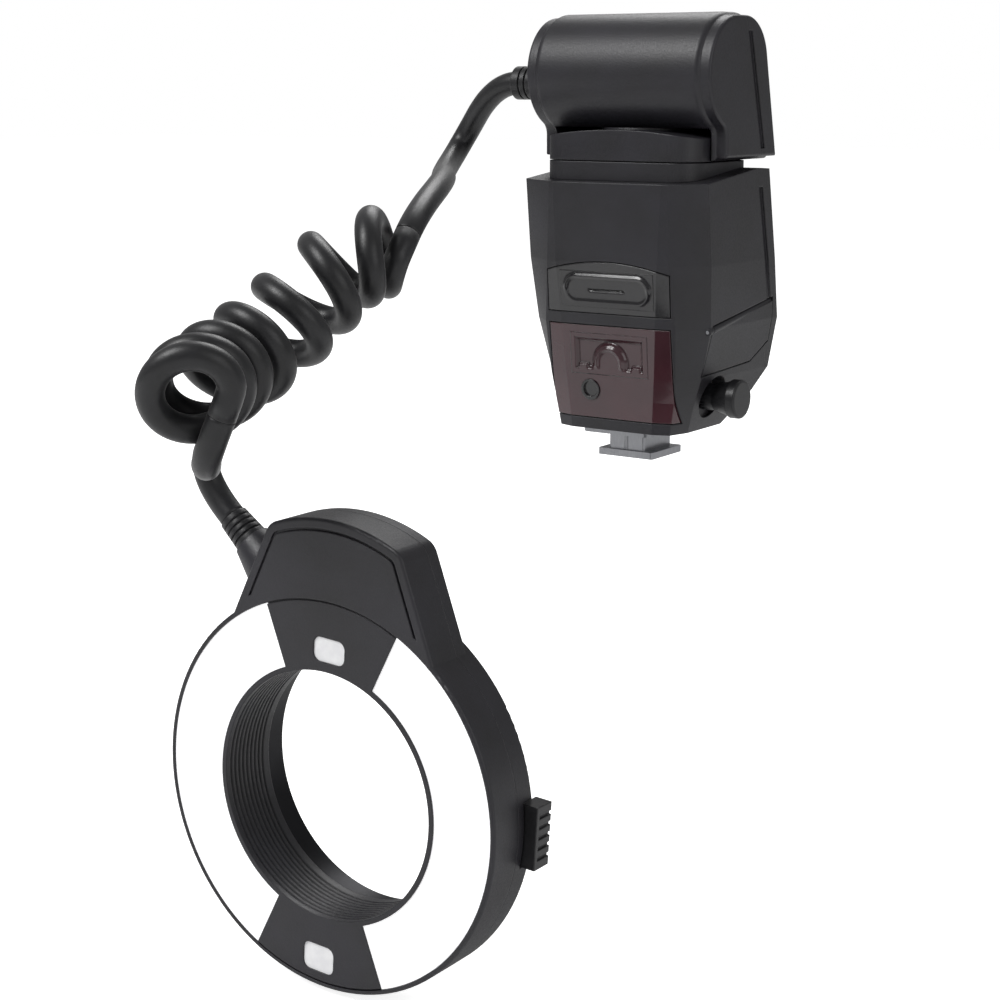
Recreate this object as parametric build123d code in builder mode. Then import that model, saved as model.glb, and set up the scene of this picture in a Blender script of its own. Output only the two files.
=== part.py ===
"""Macro ring flash: a control unit for a hot shoe and a ring head for a lens, joined by a curly cord.

Millimetres, +X right seen from the front, +Y to the back, +Z up.  The origin is the centre of the
shoe foot's underside.  The ring head hangs in front of the control unit on the lens axis.
"""
import os
from math import atan2, cos, degrees, hypot, pi, radians, sin, sqrt, tan

from build123d import *

os.makedirs("parts", exist_ok=True)

# Fits and clearances
overrun = 6.0             # how far a cutter passes the face that it opens
running_gap = 0.05        # radial clearance of a shaft in its bearing
seam_gap = 0.3            # gap between a moving moulding and its neighbour
joint_gap = 0.1           # gap between two fixed mouldings at their seam

# Control unit
wall = 2.0                # thickness of the mouldings
foot_height = 9.0         # from the shoe foot's underside to the body
deck_z = 81.0             # top of the body at its front
deck_rise = 3.4           # how much higher the deck is at the parting line
body_half_width = 30.3
body_front = 21.2         # front panel, in front of the shoe's centre
body_back = 34.1          # deepest place of the back, behind the shoe's centre
back_lean_share = 0.2     # the back comes forward by this share of its height
back_chamfer = 5.0
parting_y = 12.6          # seam between the front and the rear moulding, at the deck
parting_lean = 13.0       # degrees that the seam leans back on its way down
collar_half_width = 25.2
collar_front = 17.3
collar_back = 20.0
collar_radius = 8.0
collar_z = 86.5           # top of the fixed collar, where the head starts to turn

# One row for each level of the body: height share of the deck, then shares of the half width and
# of the front or back depth for the panel's edge, the soft edge, the side's edge and the back
body_level_shares = (
    (foot_height / deck_z, 0.446, 0.783, 0.611, 0.703, 0.677, 0.377, 0.677, 0.500),
    (0.228, 0.469, 0.821, 0.667, 0.736, 0.766, 0.425, 0.835, 0.806),
    (0.309, 0.488, 0.854, 0.693, 0.783, 0.842, 0.453, 0.908, 0.974),
    (0.494, 0.518, 0.920, 0.719, 0.873, 0.960, 0.528, 0.983, 1.000),
    (0.716, 0.558, 1.000, 0.673, 0.953, 1.000, 0.656, 1.000, 0.894),
    (1.086, 0.607, 1.000, 0.637, 0.990, 1.000, 0.811, 1.000, 0.722),
)

# Shoe foot, after the common accessory shoe
foot_width = 18.6
foot_length = 17.8
foot_plate = 2.0
foot_stem_width = 12.2
foot_flange = 1.5
flange_margin = 5.0
contact_radius = 1.1
contact_small_radius = 0.8
contact_pitch = 4.2
contact_row_y = 5.0
lock_pin_radius = 0.9
lock_pin_y = 7.2          # in front of the foot's centre
lock_pin_recess = 0.1
lock_arm = 1.6
knob_z = 19.0
knob_end_x = 33.9
knob_length = 8.2
knob_radius = 5.3
knob_root_radius = 3.9
knob_pocket_radius = 6.3
knob_shaft_radius = 2.0
knob_cam_radius = 3.0
knob_cam_width = 4.0
knob_rib_depth = 0.35
knob_rib_count = 22

# Head
head_half_width = 30.3
barrel_radius = 17.0
barrel_y = -0.6
barrel_z = 111.1
cheek_front = 7.0         # cheek's front edge, in front of the shoe's centre
head_back = 25.7          # at the cheeks' feet
head_back_lean = 13.6     # degrees that the head's flat back leans forward
head_back_radius = 14.0
head_parting_y = 3.5      # at the top of the barrel
head_parting_lean = 16.0
neck_crown = 2.2          # rise of the neck's arched top
neck_side_z = 93.3
spindle_radius = 9.0
spindle_bore = 6.0
spindle_flange_radius = 12.0
spindle_flange = 1.5
capacitor_radius = 14.2
capacitor_length = 46.0
gland_y = -8.0
gland_z = 108.5
gland_length = 8.3
gland_radius = 4.85
gland_collar = 2.6
gland_stem_radius = 4.2

# Side doors
hinge_radius = 1.1
hinge_pin_radius = 0.5
hinge_lug = 2.4
cell_radius = 7.25
cell_length = 50.5
cell_gap = 0.3
cell_pitch = 14.8
cell_low_z = 53.6
cell_front_y = -0.5

# Rear panel
button_width = 9.5
button_height = 4.2
button_row = 6.5
button_z = 56.0           # upper row; the others follow below
button_pitch = 12.3
button_proud = 1.0
button_flange = 0.8
button_travel = 0.8
test_radius = 2.8
lcd_width = 36.0
lcd_height = 15.0
lcd_z = 69.0
lcd_glass = 1.2

# Ring head, drawn on its own axis; depth counts from its front face
ring_front = 151.1        # in front of the shoe's centre
ring_axis_z = -62.9
ring_turn = 3.7           # degrees that the ring is turned on the lens in the photograph
ring_radius = 50.9
ring_opening = 49.7
bore_radius = 31.9
bore_wall = 1.3
front_shell_depth = 10.0
ring_depth = 16.5
hood_top = 69.9
hood_low_half = 31.9
hood_low_y = 38.0
hood_high_half = 20.2
hood_high_y = 65.5
hood_corner_radius = 5.0
bridge_outer_half = 20.0
bridge_inner_half = 14.0
bridge_plate = 2.0
lamp_y = 37.4
lamp_low_y = -43.4
lamp_width = 9.6
lamp_height = 6.2
diffuser_plate = 1.8
diffuser_depth = 0.4
reflector_depth = 2.6
reflector_height = 5.6
tube_radius = 1.5
tube_ring_radius = 41.3
tube_span = 118.0         # degrees of arc of each flash tube
board_depth = 9.0
board_plate = 1.2

# Lens adapter and release
back_radius = 46.9        # stepped back of the ring head
back_depth = 19.2
back_plate = 1.8
adapter_thread_radius = 38.5
adapter_thread_length = 3.5
adapter_bore = 35.0
adapter_radius = 41.0
adapter_depth = 11.4
adapter_back = 22.0
collar_wall = 2.2
collar_depth = 10.2
slider_depth = 12.9
slider_plate = 1.5
slider_inner = 44.6
slider_width = 2.0
slider_shift = 0.9
release_travel = 1.8
release_height = 16.0
release_reach = 54.2
release_inner = 49.7
release_depth = 12.6
release_back = 18.6
claw_width = 8.0

# Cord
cord_radius = 3.4
boss_way = (-0.8, 0.6)    # direction of the cord's boss, seen from the ring's front
boss_depth = 8.0
boss_start = (-23.0, 50.6)
boss_length = 11.0
boss_base_radius = 7.8
boss_tip_radius = 4.9
boot_length = 8.0
boot_base_radius = 4.4
boot_tip_radius = 3.8
boot_rib_count = 5
boot_rib_depth = 0.5


def save(piece, label):
    """Name a finished sub-part and write its file."""
    piece.part.label = label
    export_step(piece.part, f"parts/{label}.step")


def body_outline(shares):
    """Closed outline of the body at one level, counterclockwise from above."""
    _, panel, front, edge, edge_y, side, side_y, rear, back = shares
    half = [
        (panel * body_half_width, -front * body_front),
        (edge * body_half_width, -edge_y * body_front),
        (side * body_half_width, -side_y * body_front),
        (rear * body_half_width, back * body_back - back_chamfer),
        (rear * body_half_width - back_chamfer, back * body_back),
    ]
    return half + [(-x, y) for x, y in reversed(half)]


def body_block(inset):
    """Solid of the body, drawn in by the inset on all sides, cut off along the sloping deck."""
    with BuildPart() as block:
        for shares in body_level_shares:
            with BuildSketch(Plane.XY.offset(shares[0] * deck_z)):
                with BuildLine():
                    Polyline(*body_outline(shares), close=True)
                make_face()
                if inset:
                    offset(amount=-inset, kind=Kind.INTERSECTION)
        loft(ruled=True)
        with BuildSketch(Plane.YZ):
            with BuildLine():
                Polyline(
                    (-2 * body_front, deck_z - deck_rise / 2 - inset),
                    (-collar_front, deck_z - inset),
                    (parting_y, deck_z + deck_rise - inset),
                    (2 * body_back, deck_z + deck_rise / 2 - inset),
                    (2 * body_back, 2 * deck_z),
                    (-2 * body_front, 2 * deck_z),
                    close=True,
                )
            make_face()
        extrude(amount=2 * body_half_width, both=True, mode=Mode.SUBTRACT)
        if inset:
            with BuildSketch(Plane.XY):
                Rectangle(3 * body_half_width, 3 * body_back)
            extrude(amount=foot_height + inset, mode=Mode.SUBTRACT)
    return block.part


outer_block = body_block(0)
inner_block = body_block(wall)
parting = Plane(
    origin=(0, parting_y, deck_z + deck_rise),
    x_dir=(1, 0, 0),
    z_dir=(0, cos(radians(parting_lean)), sin(radians(parting_lean))),
)


def prism_x(points, low_x, high_x):
    """Solid between two X places over an outline given in Y and Z."""
    with BuildPart() as prism:
        with BuildSketch(Plane.YZ.offset(low_x)):
            with BuildLine():
                Polyline(*points, close=True)
            make_face()
        extrude(amount=high_x - low_x)
    return prism.part


def rod(start, end, radius):
    """Round rod from one point to another."""
    way = Vector(*end) - Vector(*start)
    with BuildPart() as bar:
        with BuildSketch(Plane(origin=start, z_dir=way)):
            Circle(radius)
        extrude(amount=way.length)
    return bar.part


def box_between(low, high):
    """Box between two corners."""
    size = [b - a for a, b in zip(low, high)]
    with BuildPart() as block:
        with BuildSketch(Plane(origin=((low[0] + high[0]) / 2, (low[1] + high[1]) / 2, low[2]))):
            Rectangle(size[0], size[1])
        extrude(amount=size[2])
    return block.part


# Side doors: each hangs from a pin along its upper edge
# A door is given by its side, its upper edge from front to back and its outline below
battery_door_edge = ((-8.0, 76.6), (21.0, 76.6))
battery_door_low = ((21.0, 46.4), (-8.0, 46.4))
terminal_edge = ((-9.6, 39.6), (25.5, 45.1))
terminal_low = ((25.5, 33.4), (16.4, 28.0), (-9.6, 26.2))
battery_hinge_x = body_half_width - hinge_radius
terminal_hinge_x = 29.6 - hinge_radius


def door_pieces(side, edge, low, hinge_x):
    """Door leaf, its pin, and what the body needs around them: the lugs and the clearances."""
    (y0, z0), (y1, z1) = edge
    run = hypot(y1 - y0, z1 - z0)
    along = ((y1 - y0) / run, (z1 - z0) / run)
    start = (side * hinge_x, y0, z0)
    end = (side * hinge_x, y1, z1)
    lug_start = (side * hinge_x, y0 - hinge_lug * along[0], z0 - hinge_lug * along[1])
    lug_end = (side * hinge_x, y1 + hinge_lug * along[0], z1 + hinge_lug * along[1])
    reach = sorted((side * body_half_width / 2, side * 2 * body_half_width))
    shell_side = prism_x([edge[0], edge[1], *low], *reach)
    rise = hinge_radius + seam_gap
    grown = [
        (y0 - seam_gap, z0 + rise),
        (y1 + seam_gap, z1 + rise),
        *[(y + (seam_gap if y > (y0 + y1) / 2 else -seam_gap), z - seam_gap) for y, z in low],
    ]
    with BuildPart() as leaf:
        add(shell_side)
        add(outer_block, mode=Mode.INTERSECT)
        add(inner_block, mode=Mode.SUBTRACT)
        add(rod(start, end, hinge_radius))
        add(rod(lug_start, lug_end, hinge_pin_radius + running_gap), mode=Mode.SUBTRACT)
    with BuildPart() as pin:
        add(rod(lug_start, lug_end, hinge_pin_radius))
    opening = prism_x(grown, *reach)
    with BuildPart() as lugs:
        add(rod(lug_start, lug_end, hinge_radius))
        add(opening, mode=Mode.SUBTRACT)
        add(rod(lug_start, lug_end, hinge_pin_radius), mode=Mode.SUBTRACT)
    return leaf, pin, lugs.part, opening


battery_door, battery_door_pin, battery_lugs, battery_opening = door_pieces(
    -1, battery_door_edge, battery_door_low, battery_hinge_x)
terminal_cover, terminal_cover_pin, terminal_lugs, terminal_opening = door_pieces(
    1, terminal_edge, terminal_low, terminal_hinge_x)


def rounded_block(half_x, front, back, radius, low, high):
    """Upright block with a rounded rectangle for its plan."""
    with BuildPart() as block:
        with BuildSketch(Plane(origin=(0, (back - front) / 2, low))):
            RectangleRounded(2 * half_x, front + back, radius)
        extrude(amount=high - low)
    return block.part


def half_space(plane):
    """Large block on the plane's upper side."""
    with BuildPart() as block:
        with BuildSketch(plane):
            Rectangle(8 * body_half_width, 8 * body_half_width)
        extrude(amount=8 * body_half_width)
    return block.part


# Front panel: the glossy cover and the focus window lie in a rebate of the front moulding
skin = 1.2
cover_half = 20.4
cover_low_z = 43.4
cover_side_z = 55.4
cover_top_z = 58.4
window_half = 20.3
window_low_z = 12.4
window_top_z = 39.9
skin_block = body_block(skin)
behind_parting = half_space(parting)


def front_prism(points, gap):
    """Solid through the front panel over an outline given in X and Z, drawn in by a gap."""
    with BuildPart() as prism:
        with BuildSketch(Plane.XZ.offset(-foot_height)):
            with BuildLine():
                Polyline(*points, close=True)
            make_face()
            if gap:
                offset(amount=-gap, kind=Kind.INTERSECTION)
        extrude(amount=2 * body_front)
    return prism.part


def arch_points(half, low, side, top, steps=12):
    """Outline with a straight foot and a flat arch on top."""
    points = [(-half, low), (half, low)]
    for step in range(steps + 1):
        share = 1 - 2 * step / steps
        points.append((half * share, side + (top - side) * (1 - share * share)))
    return points


cover_outline = arch_points(cover_half, cover_low_z, cover_side_z, cover_top_z)
window_outline = arch_points(window_half, window_low_z, window_top_z, window_top_z, 1)
window_backing = 2.5

# Openings in the back for the display and its buttons
rear_plane = Plane(
    origin=(0, body_back - back_lean_share * (button_z - deck_z / 2 + 0.5), button_z),
    x_dir=(-1, 0, 0),
    z_dir=(0, 1, back_lean_share),
)
lcd_up = lcd_z - button_z
button_places = {
    "button_mode": (-button_pitch, 0),
    "button_ratio": (0, 0),
    "button_lamp": (button_pitch, 0),
    "button_minus": (-button_pitch, -button_row),
    "button_set": (0, -button_row),
    "button_plus": (button_pitch, -button_row),
}
test_place = (button_pitch, -2 * button_row)
switch_place = (-button_pitch / 2, -2 * button_row)
switch_slot = (11.0, 3.6)
switch_travel = 4.0


def rear_prism(shape, place, low, high):
    """Solid square to the back panel over a plan shape; heights count outwards from the panel."""
    with BuildPart() as prism:
        with BuildSketch(rear_plane.offset(low)):
            with Locations(place):
                add(shape)
        extrude(amount=high - low)
    return prism.part


def rounded_plan(width, height, radius):
    """Plan of a rounded rectangle."""
    with BuildSketch() as plan:
        RectangleRounded(width, height, radius)
    return plan.sketch


def round_plan(radius):
    """Plan of a disc."""
    with BuildSketch() as plan:
        Circle(radius)
    return plan.sketch


button_radius = 1.2
button_plan = rounded_plan(button_width, button_height, button_radius)
button_hole = rounded_plan(button_width + 2 * seam_gap, button_height + 2 * seam_gap, button_radius)
lcd_plan = rounded_plan(lcd_width, lcd_height, button_radius)
test_hole = round_plan(test_radius + seam_gap)
slot_plan = rounded_plan(*switch_slot, button_radius)

# Swivel: the spindle runs in the collar's hub
swivel_y = 2.0
hub_radius = 12.5
hub_z = 79.4
spindle_top = 96.8
collar_gap = 0.3
neck_z = collar_z + collar_gap

# Knob, its cup in the side and its cam, which presses the pin into the shoe
knob_cup_x = 18.5
knob_floor_x = 20.9
cup_wall = 1.4
cam_reach = 1.06
pin_gap = 0.1
pin_top_z = knob_z + cam_reach * cos(radians(45)) - knob_cam_radius - pin_gap
channel_width = 2.6
channel_depth = 0.7
channel_low_z = 45.0
channel_high_z = 79.0


def seam_channel(plane, low_z, high_z, half_width):
    """Shallow channel behind the seam on both flanks."""
    with BuildPart() as channel:
        with BuildSketch(plane):
            Rectangle(4 * half_width, 8 * half_width)
        extrude(amount=channel_width)
        add(box_between((channel_depth - half_width, -2 * half_width, 0),
                        (half_width - channel_depth, 4 * half_width, 2 * high_z)), mode=Mode.SUBTRACT)
        add(box_between((-2 * half_width, -2 * half_width, low_z),
                        (2 * half_width, 4 * half_width, high_z)), mode=Mode.INTERSECT)
    return channel.part


with BuildPart() as shell:
    add(outer_block)
    add(inner_block, mode=Mode.SUBTRACT)
    with BuildPart(mode=Mode.PRIVATE) as cup:
        add(rod((knob_cup_x, 0, knob_z), (body_half_width, 0, knob_z), knob_pocket_radius + cup_wall))
        add(outer_block, mode=Mode.INTERSECT)
    add(cup.part)
    add(rod((knob_floor_x, 0, knob_z), (2 * body_half_width, 0, knob_z), knob_pocket_radius),
        mode=Mode.SUBTRACT)
    add(rod((0, 0, knob_z), (body_half_width, 0, knob_z), knob_shaft_radius + running_gap),
        mode=Mode.SUBTRACT)
    add(battery_opening, mode=Mode.SUBTRACT)
    add(terminal_opening, mode=Mode.SUBTRACT)
    add(battery_lugs)
    add(terminal_lugs)
    add(battery_door_pin.part, mode=Mode.SUBTRACT)
    add(terminal_cover_pin.part, mode=Mode.SUBTRACT)
    with BuildSketch(Plane.XY.offset(hub_z - overrun)):
        with Locations((0, swivel_y)):
            Circle(hub_radius)
    extrude(amount=4 * overrun, mode=Mode.SUBTRACT)
    add(seam_channel(parting, channel_low_z, channel_high_z, body_half_width), mode=Mode.SUBTRACT)
    add(rod((0, -lock_pin_y, 0), (0, -lock_pin_y, foot_height + 2 * wall), lock_pin_radius + running_gap),
        mode=Mode.SUBTRACT)

with BuildPart() as body_front_shell:
    add(shell.part)
    add(behind_parting, mode=Mode.SUBTRACT)
    with BuildPart(mode=Mode.PRIVATE) as rebate:
        add(front_prism(cover_outline, -seam_gap / 2))
        add(front_prism(window_outline, -seam_gap / 2))
        add(skin_block, mode=Mode.SUBTRACT)
    add(rebate.part, mode=Mode.SUBTRACT)
    add(front_prism(window_outline, window_backing), mode=Mode.SUBTRACT)
save(body_front_shell, "body_front_shell")

with BuildPart() as body_rear_shell:
    add(shell.part)
    add(behind_parting, mode=Mode.INTERSECT)
    for place in button_places.values():
        add(rear_prism(button_hole, place, -overrun, overrun), mode=Mode.SUBTRACT)
    add(rear_prism(test_hole, test_place, -overrun, overrun), mode=Mode.SUBTRACT)
    add(rear_prism(slot_plan, switch_place, -overrun, overrun), mode=Mode.SUBTRACT)
    add(rear_prism(lcd_plan, (0, lcd_up), -overrun, overrun), mode=Mode.SUBTRACT)
save(body_rear_shell, "body_rear_shell")

# Front cover with its hollowed grip
grip_half = 14.4
grip_low_z = 46.0
grip_high_z = 54.6
grip_depth = 0.7
grip_groove = 0.9
slit_half = 6.5
slit_z = 50.2
slit_height = 0.8
grip_plane_y = 19.9
panel_lean_share = 0.07


def panel_plane(y, z):
    """Plane on the front panel, leaning as it does, with its Y axis up."""
    return Plane(origin=(0, -y, z), x_dir=(1, 0, 0), z_dir=(0, -1, -panel_lean_share))


with BuildPart() as front_cover:
    add(front_prism(cover_outline, seam_gap / 2))
    add(outer_block, mode=Mode.INTERSECT)
    add(skin_block, mode=Mode.SUBTRACT)
    grip_mid_z = (grip_low_z + grip_high_z) / 2
    with BuildSketch(panel_plane(grip_plane_y, grip_mid_z)):
        RectangleRounded(2 * grip_half, grip_high_z - grip_low_z, grip_groove * 4)
        offset(amount=-grip_groove, mode=Mode.SUBTRACT)
        with Locations((0, slit_z - grip_mid_z)):
            Rectangle(2 * slit_half, slit_height)
    extrude(amount=overrun, mode=Mode.SUBTRACT)
save(front_cover, "front_cover")

# Focus window: red plastic with a sunken field, a tongue and the sensor's hole
field_half = 11.6
field_low_z = 26.6
field_high_z = 36.4
field_depth = 1.0
tongue_half = 3.6
tongue_z = 29.4
eye_x = -6.6
eye_z = 21.0
eye_radius = 2.3
eye_rim = 0.75
window_panel_y = 18.7

with BuildPart() as af_window:
    add(front_prism(window_outline, seam_gap / 2))
    add(outer_block, mode=Mode.INTERSECT)
    add(skin_block, mode=Mode.SUBTRACT)
    with BuildPart(mode=Mode.PRIVATE) as step:
        add(front_prism(window_outline, window_backing))
        add(skin_block, mode=Mode.INTERSECT)
        add(inner_block, mode=Mode.SUBTRACT)
    add(step.part)
    field_mid_z = (field_low_z + field_high_z) / 2
    with BuildSketch(panel_plane(window_panel_y - field_depth, field_mid_z)):
        Rectangle(2 * field_half, field_high_z - field_low_z)
        with Locations((0, field_low_z - field_mid_z)):
            Rectangle(2 * tongue_half, 2 * (tongue_z - field_low_z), mode=Mode.SUBTRACT)
        with Locations((0, tongue_z - field_mid_z)):
            Circle(tongue_half, mode=Mode.SUBTRACT)
    extrude(amount=overrun, mode=Mode.SUBTRACT)
    with BuildSketch(panel_plane(window_panel_y - 2 * wall, eye_z)):
        with Locations((eye_x, 0)):
            Circle(eye_radius + eye_rim)
    extrude(amount=2 * overrun, mode=Mode.SUBTRACT)
save(af_window, "af_window")

with BuildPart() as sensor_eye:
    with BuildSketch(panel_plane(window_panel_y - 2 * wall, eye_z)):
        with Locations((eye_x, 0)):
            Circle(eye_radius + eye_rim)
    extrude(amount=2 * wall - 2 * seam_gap)
    with BuildSketch(panel_plane(window_panel_y - field_depth - seam_gap, eye_z)):
        with Locations((eye_x, 0)):
            Circle(eye_radius)
    extrude(amount=overrun, mode=Mode.SUBTRACT)
save(sensor_eye, "sensor_eye")

# Focus lamps behind the window, on their own small board
lamp_board_y = 13.2
lamp_board_half = 11.0
lamp_board_low_z = 24.0
lamp_board_high_z = 38.0
lamp_board_plate = 1.0
lamp_radius = 2.0
lamp_pitch = 11.0
lamp_length = 2.0

with BuildPart() as af_lamp:
    add(box_between((-lamp_board_half, -lamp_board_y, lamp_board_low_z),
                    (lamp_board_half, lamp_board_plate - lamp_board_y, lamp_board_high_z)))
    for x in (-lamp_pitch / 2, lamp_pitch / 2):
        lamp_z = (lamp_board_low_z + lamp_board_high_z) / 2
        add(rod((x, -lamp_board_y, lamp_z), (x, -lamp_board_y - lamp_length, lamp_z), lamp_radius))
    bracket = box_between((-lamp_pitch / 2, lamp_board_plate - lamp_board_y, lamp_board_low_z),
                          (lamp_pitch / 2, 0, lamp_board_low_z + lamp_board_plate))
    add(bracket)
    add(box_between((-lamp_pitch / 2, -lamp_board_plate, lamp_board_low_z),
                    (lamp_pitch / 2, 0, cell_low_z - cell_radius - wall)))
save(af_lamp, "af_lamp")

# Shoe foot with its flange, and its contact pins
foot_corner = 0.8
flange_corner = 2.5
flange_half = foot_width / 2 + flange_margin
contact_places = [(0, 0, contact_radius)]
contact_places += [(x * contact_pitch, contact_row_y, contact_small_radius) for x in (-1, 0, 1)]
contact_places += [(contact_pitch, -contact_row_y, contact_small_radius)]

with BuildPart() as shoe_foot:
    with BuildSketch(Plane.XY):
        RectangleRounded(foot_width, foot_length, foot_corner)
    extrude(amount=foot_plate)
    with BuildSketch(Plane.XY.offset(foot_plate)):
        RectangleRounded(foot_stem_width, foot_length - foot_plate, foot_corner)
    extrude(amount=foot_height - foot_plate)
    with BuildSketch(Plane.XY.offset(foot_height - foot_flange)):
        RectangleRounded(2 * (flange_half - flange_margin / 2), 2 * flange_half, flange_corner)
    extrude(amount=foot_flange)
    for x, y, radius in contact_places:
        add(rod((x, y, 0), (x, y, foot_height), radius), mode=Mode.SUBTRACT)
    add(rod((0, -lock_pin_y, -overrun), (0, -lock_pin_y, foot_height), lock_pin_radius + running_gap),
        mode=Mode.SUBTRACT)
save(shoe_foot, "shoe_foot")

with BuildPart() as shoe_contact_pins:
    for x, y, radius in contact_places:
        add(rod((x, y, 0), (x, y, foot_height), radius))
save(shoe_contact_pins, "shoe_contact_pins")

with BuildPart() as lock_pin:
    add(rod((0, -lock_pin_y, lock_pin_recess), (0, -lock_pin_y, pin_top_z), lock_pin_radius))
    add(box_between((-lock_pin_radius, -lock_pin_y - lock_pin_radius, pin_top_z - lock_arm),
                    (lock_pin_radius, knob_shaft_radius, pin_top_z)))
save(lock_pin, "lock_pin")

knob_rib_radius = 0.45
knob_collar = 3.0
with BuildPart() as lock_knob:
    add(rod((-knob_cam_width / 2, 0, knob_z), (knob_floor_x + seam_gap, 0, knob_z), knob_shaft_radius))
    cam_y = cam_reach * sin(radians(45))
    cam_z = knob_z + cam_reach * cos(radians(45))
    add(rod((-knob_cam_width / 2, cam_y, cam_z), (knob_cam_width / 2, cam_y, cam_z), knob_cam_radius))
    with BuildSketch(Plane.YZ.offset(knob_floor_x + seam_gap)):
        with Locations((0, knob_z)):
            Circle(knob_root_radius)
    extrude(amount=knob_end_x - knob_length - knob_floor_x)
    with BuildSketch(Plane.YZ.offset(knob_end_x - knob_length)):
        with Locations((0, knob_z)):
            Circle(knob_root_radius)
    with BuildSketch(Plane.YZ.offset(knob_end_x - knob_collar)):
        with Locations((0, knob_z)):
            Circle(knob_radius)
    loft()
    with BuildSketch(Plane.YZ.offset(knob_end_x - knob_collar)):
        with Locations((0, knob_z)):
            Circle(knob_radius + knob_rib_depth)
    extrude(amount=knob_collar)
    fillet(faces().sort_by(Axis.X)[-1].edges(), knob_rib_depth * 2)
    for rib in range(knob_rib_count):
        angle = 2 * pi * rib / knob_rib_count
        with BuildPart(mode=Mode.PRIVATE) as flute:
            add(rod(
                (knob_floor_x, knob_root_radius * cos(angle), knob_z + knob_root_radius * sin(angle)),
                (knob_end_x - knob_collar, (knob_radius + knob_rib_depth) * cos(angle),
                 knob_z + (knob_radius + knob_rib_depth) * sin(angle)),
                knob_rib_radius))
        add(flute.part, mode=Mode.SUBTRACT)
save(lock_knob, "lock_knob")

save(terminal_cover, "terminal_cover")
save(battery_door, "battery_door")
with BuildPart() as door_pins:
    add(terminal_cover_pin.part)
    add(battery_door_pin.part)
save(door_pins, "door_pins")

# Sockets behind the side cover
socket_block = (8.0, 22.0, 11.0)
socket_x = 24.6
socket_y = 5.0
socket_z = 30.5
socket_radius = 2.2
socket_depth = 5.0

with BuildPart() as power_socket:
    add(box_between((socket_x - socket_block[0], socket_y - socket_block[1] / 2, socket_z),
                    (socket_x, socket_y + socket_block[1] / 2, socket_z + socket_block[2])))
    for y in (socket_y - socket_block[1] / 4, socket_y + socket_block[1] / 4):
        hole_z = socket_z + socket_block[2] / 2
        add(rod((socket_x - socket_depth, y, hole_z), (socket_x + overrun, y, hole_z), socket_radius),
            mode=Mode.SUBTRACT)
save(power_socket, "power_socket")

# Cells, their tray and contacts
cell_left_x = -25.2
cell_places = [(cell_front_y + i * cell_pitch, cell_low_z + j * cell_pitch) for i in (0, 1) for j in (0, 1)]
tray_wall = 0.9
tray_fit = 0.1
tray_right_x = cell_left_x + cell_length + contact_radius
tray_low = (cell_left_x, cell_front_y - cell_radius - tray_wall, cell_low_z - cell_radius - tray_wall)
tray_high = (tray_right_x, cell_front_y + cell_pitch + cell_radius + tray_wall,
             cell_low_z + cell_pitch + cell_radius + tray_wall)
web_x = 12.0
contact_plate = 0.5
contact_size = 9.0
nub_radius = 2.7
nub_length = 1.0

with BuildPart() as battery_tray:
    add(box_between(tray_low, tray_high))
    for y, z in cell_places:
        add(rod((cell_left_x - overrun, y, z), (cell_left_x + cell_length + contact_plate, y, z),
                cell_radius + tray_fit), mode=Mode.SUBTRACT)
    for x in (-web_x, web_x):
        with BuildPart(mode=Mode.PRIVATE) as web:
            add(box_between((x, -2 * body_front, cell_low_z), (x + wall, tray_low[1], cell_low_z + cell_pitch)))
            add(inner_block, mode=Mode.INTERSECT)
        add(web.part)
save(battery_tray, "battery_tray")

with BuildPart() as battery_cells:
    for y, z in cell_places:
        add(rod((cell_left_x, y, z), (cell_left_x + cell_length - nub_length, y, z), cell_radius))
        add(rod((cell_left_x, y, z), (cell_left_x + cell_length, y, z), nub_radius))
save(battery_cells, "battery_cells")

with BuildPart() as battery_contacts:
    for y, z in cell_places:
        add(rod((cell_left_x + cell_length, y, z), (cell_left_x + cell_length + contact_plate, y, z),
                contact_size / 2))
save(battery_contacts, "battery_contacts")

with BuildPart() as door_contacts:
    for y, z in cell_places:
        with BuildPart(mode=Mode.PRIVATE) as contact:
            add(rod((-body_half_width, y, z), (cell_left_x - seam_gap, y, z), nub_radius + contact_plate))
            add(inner_block, mode=Mode.INTERSECT)
        add(contact.part)
save(door_contacts, "door_contacts")

# Circuit boards
board_half = 19.0
main_board_low_z = 26.0
main_board_high_z = 59.0
chip_rise = 1.6
chips = ((-9.0, 30.0, 9.0, 7.0), (7.0, 29.0, 7.0, 7.0), (0.0, 36.5, 12.0, 2.5))
inverter_low_z = 40.4
inverter_plate = 1.2
inverter_front = 7.0
coil_box = (13.0, 12.0, 8.0)

with BuildPart() as main_circuit_board:
    add(box_between((-board_half, tray_high[1], main_board_low_z),
                    (board_half, tray_high[1] + board_plate, main_board_high_z)))
    for x, z, width, height in chips:
        add(box_between((x - width / 2, tray_high[1] + board_plate, z),
                        (x + width / 2, tray_high[1] + board_plate + chip_rise, z + height)))
save(main_circuit_board, "main_circuit_board")

with BuildPart() as inverter_board:
    add(box_between((-board_half / 2, seam_gap, inverter_low_z),
                    (board_half / 2, tray_high[1], inverter_low_z + inverter_plate)))
    add(box_between((-coil_box[0] / 2, inverter_front, inverter_low_z - coil_box[2]),
                    (coil_box[0] / 2, inverter_front + coil_box[1], inverter_low_z)))
    for x in (-board_half / 2, board_half / 2 - inverter_plate):
        add(box_between((x, inverter_front, inverter_low_z + inverter_plate),
                        (x + inverter_plate, inverter_front + inverter_plate, tray_low[2])))
save(inverter_board, "inverter_board")

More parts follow.
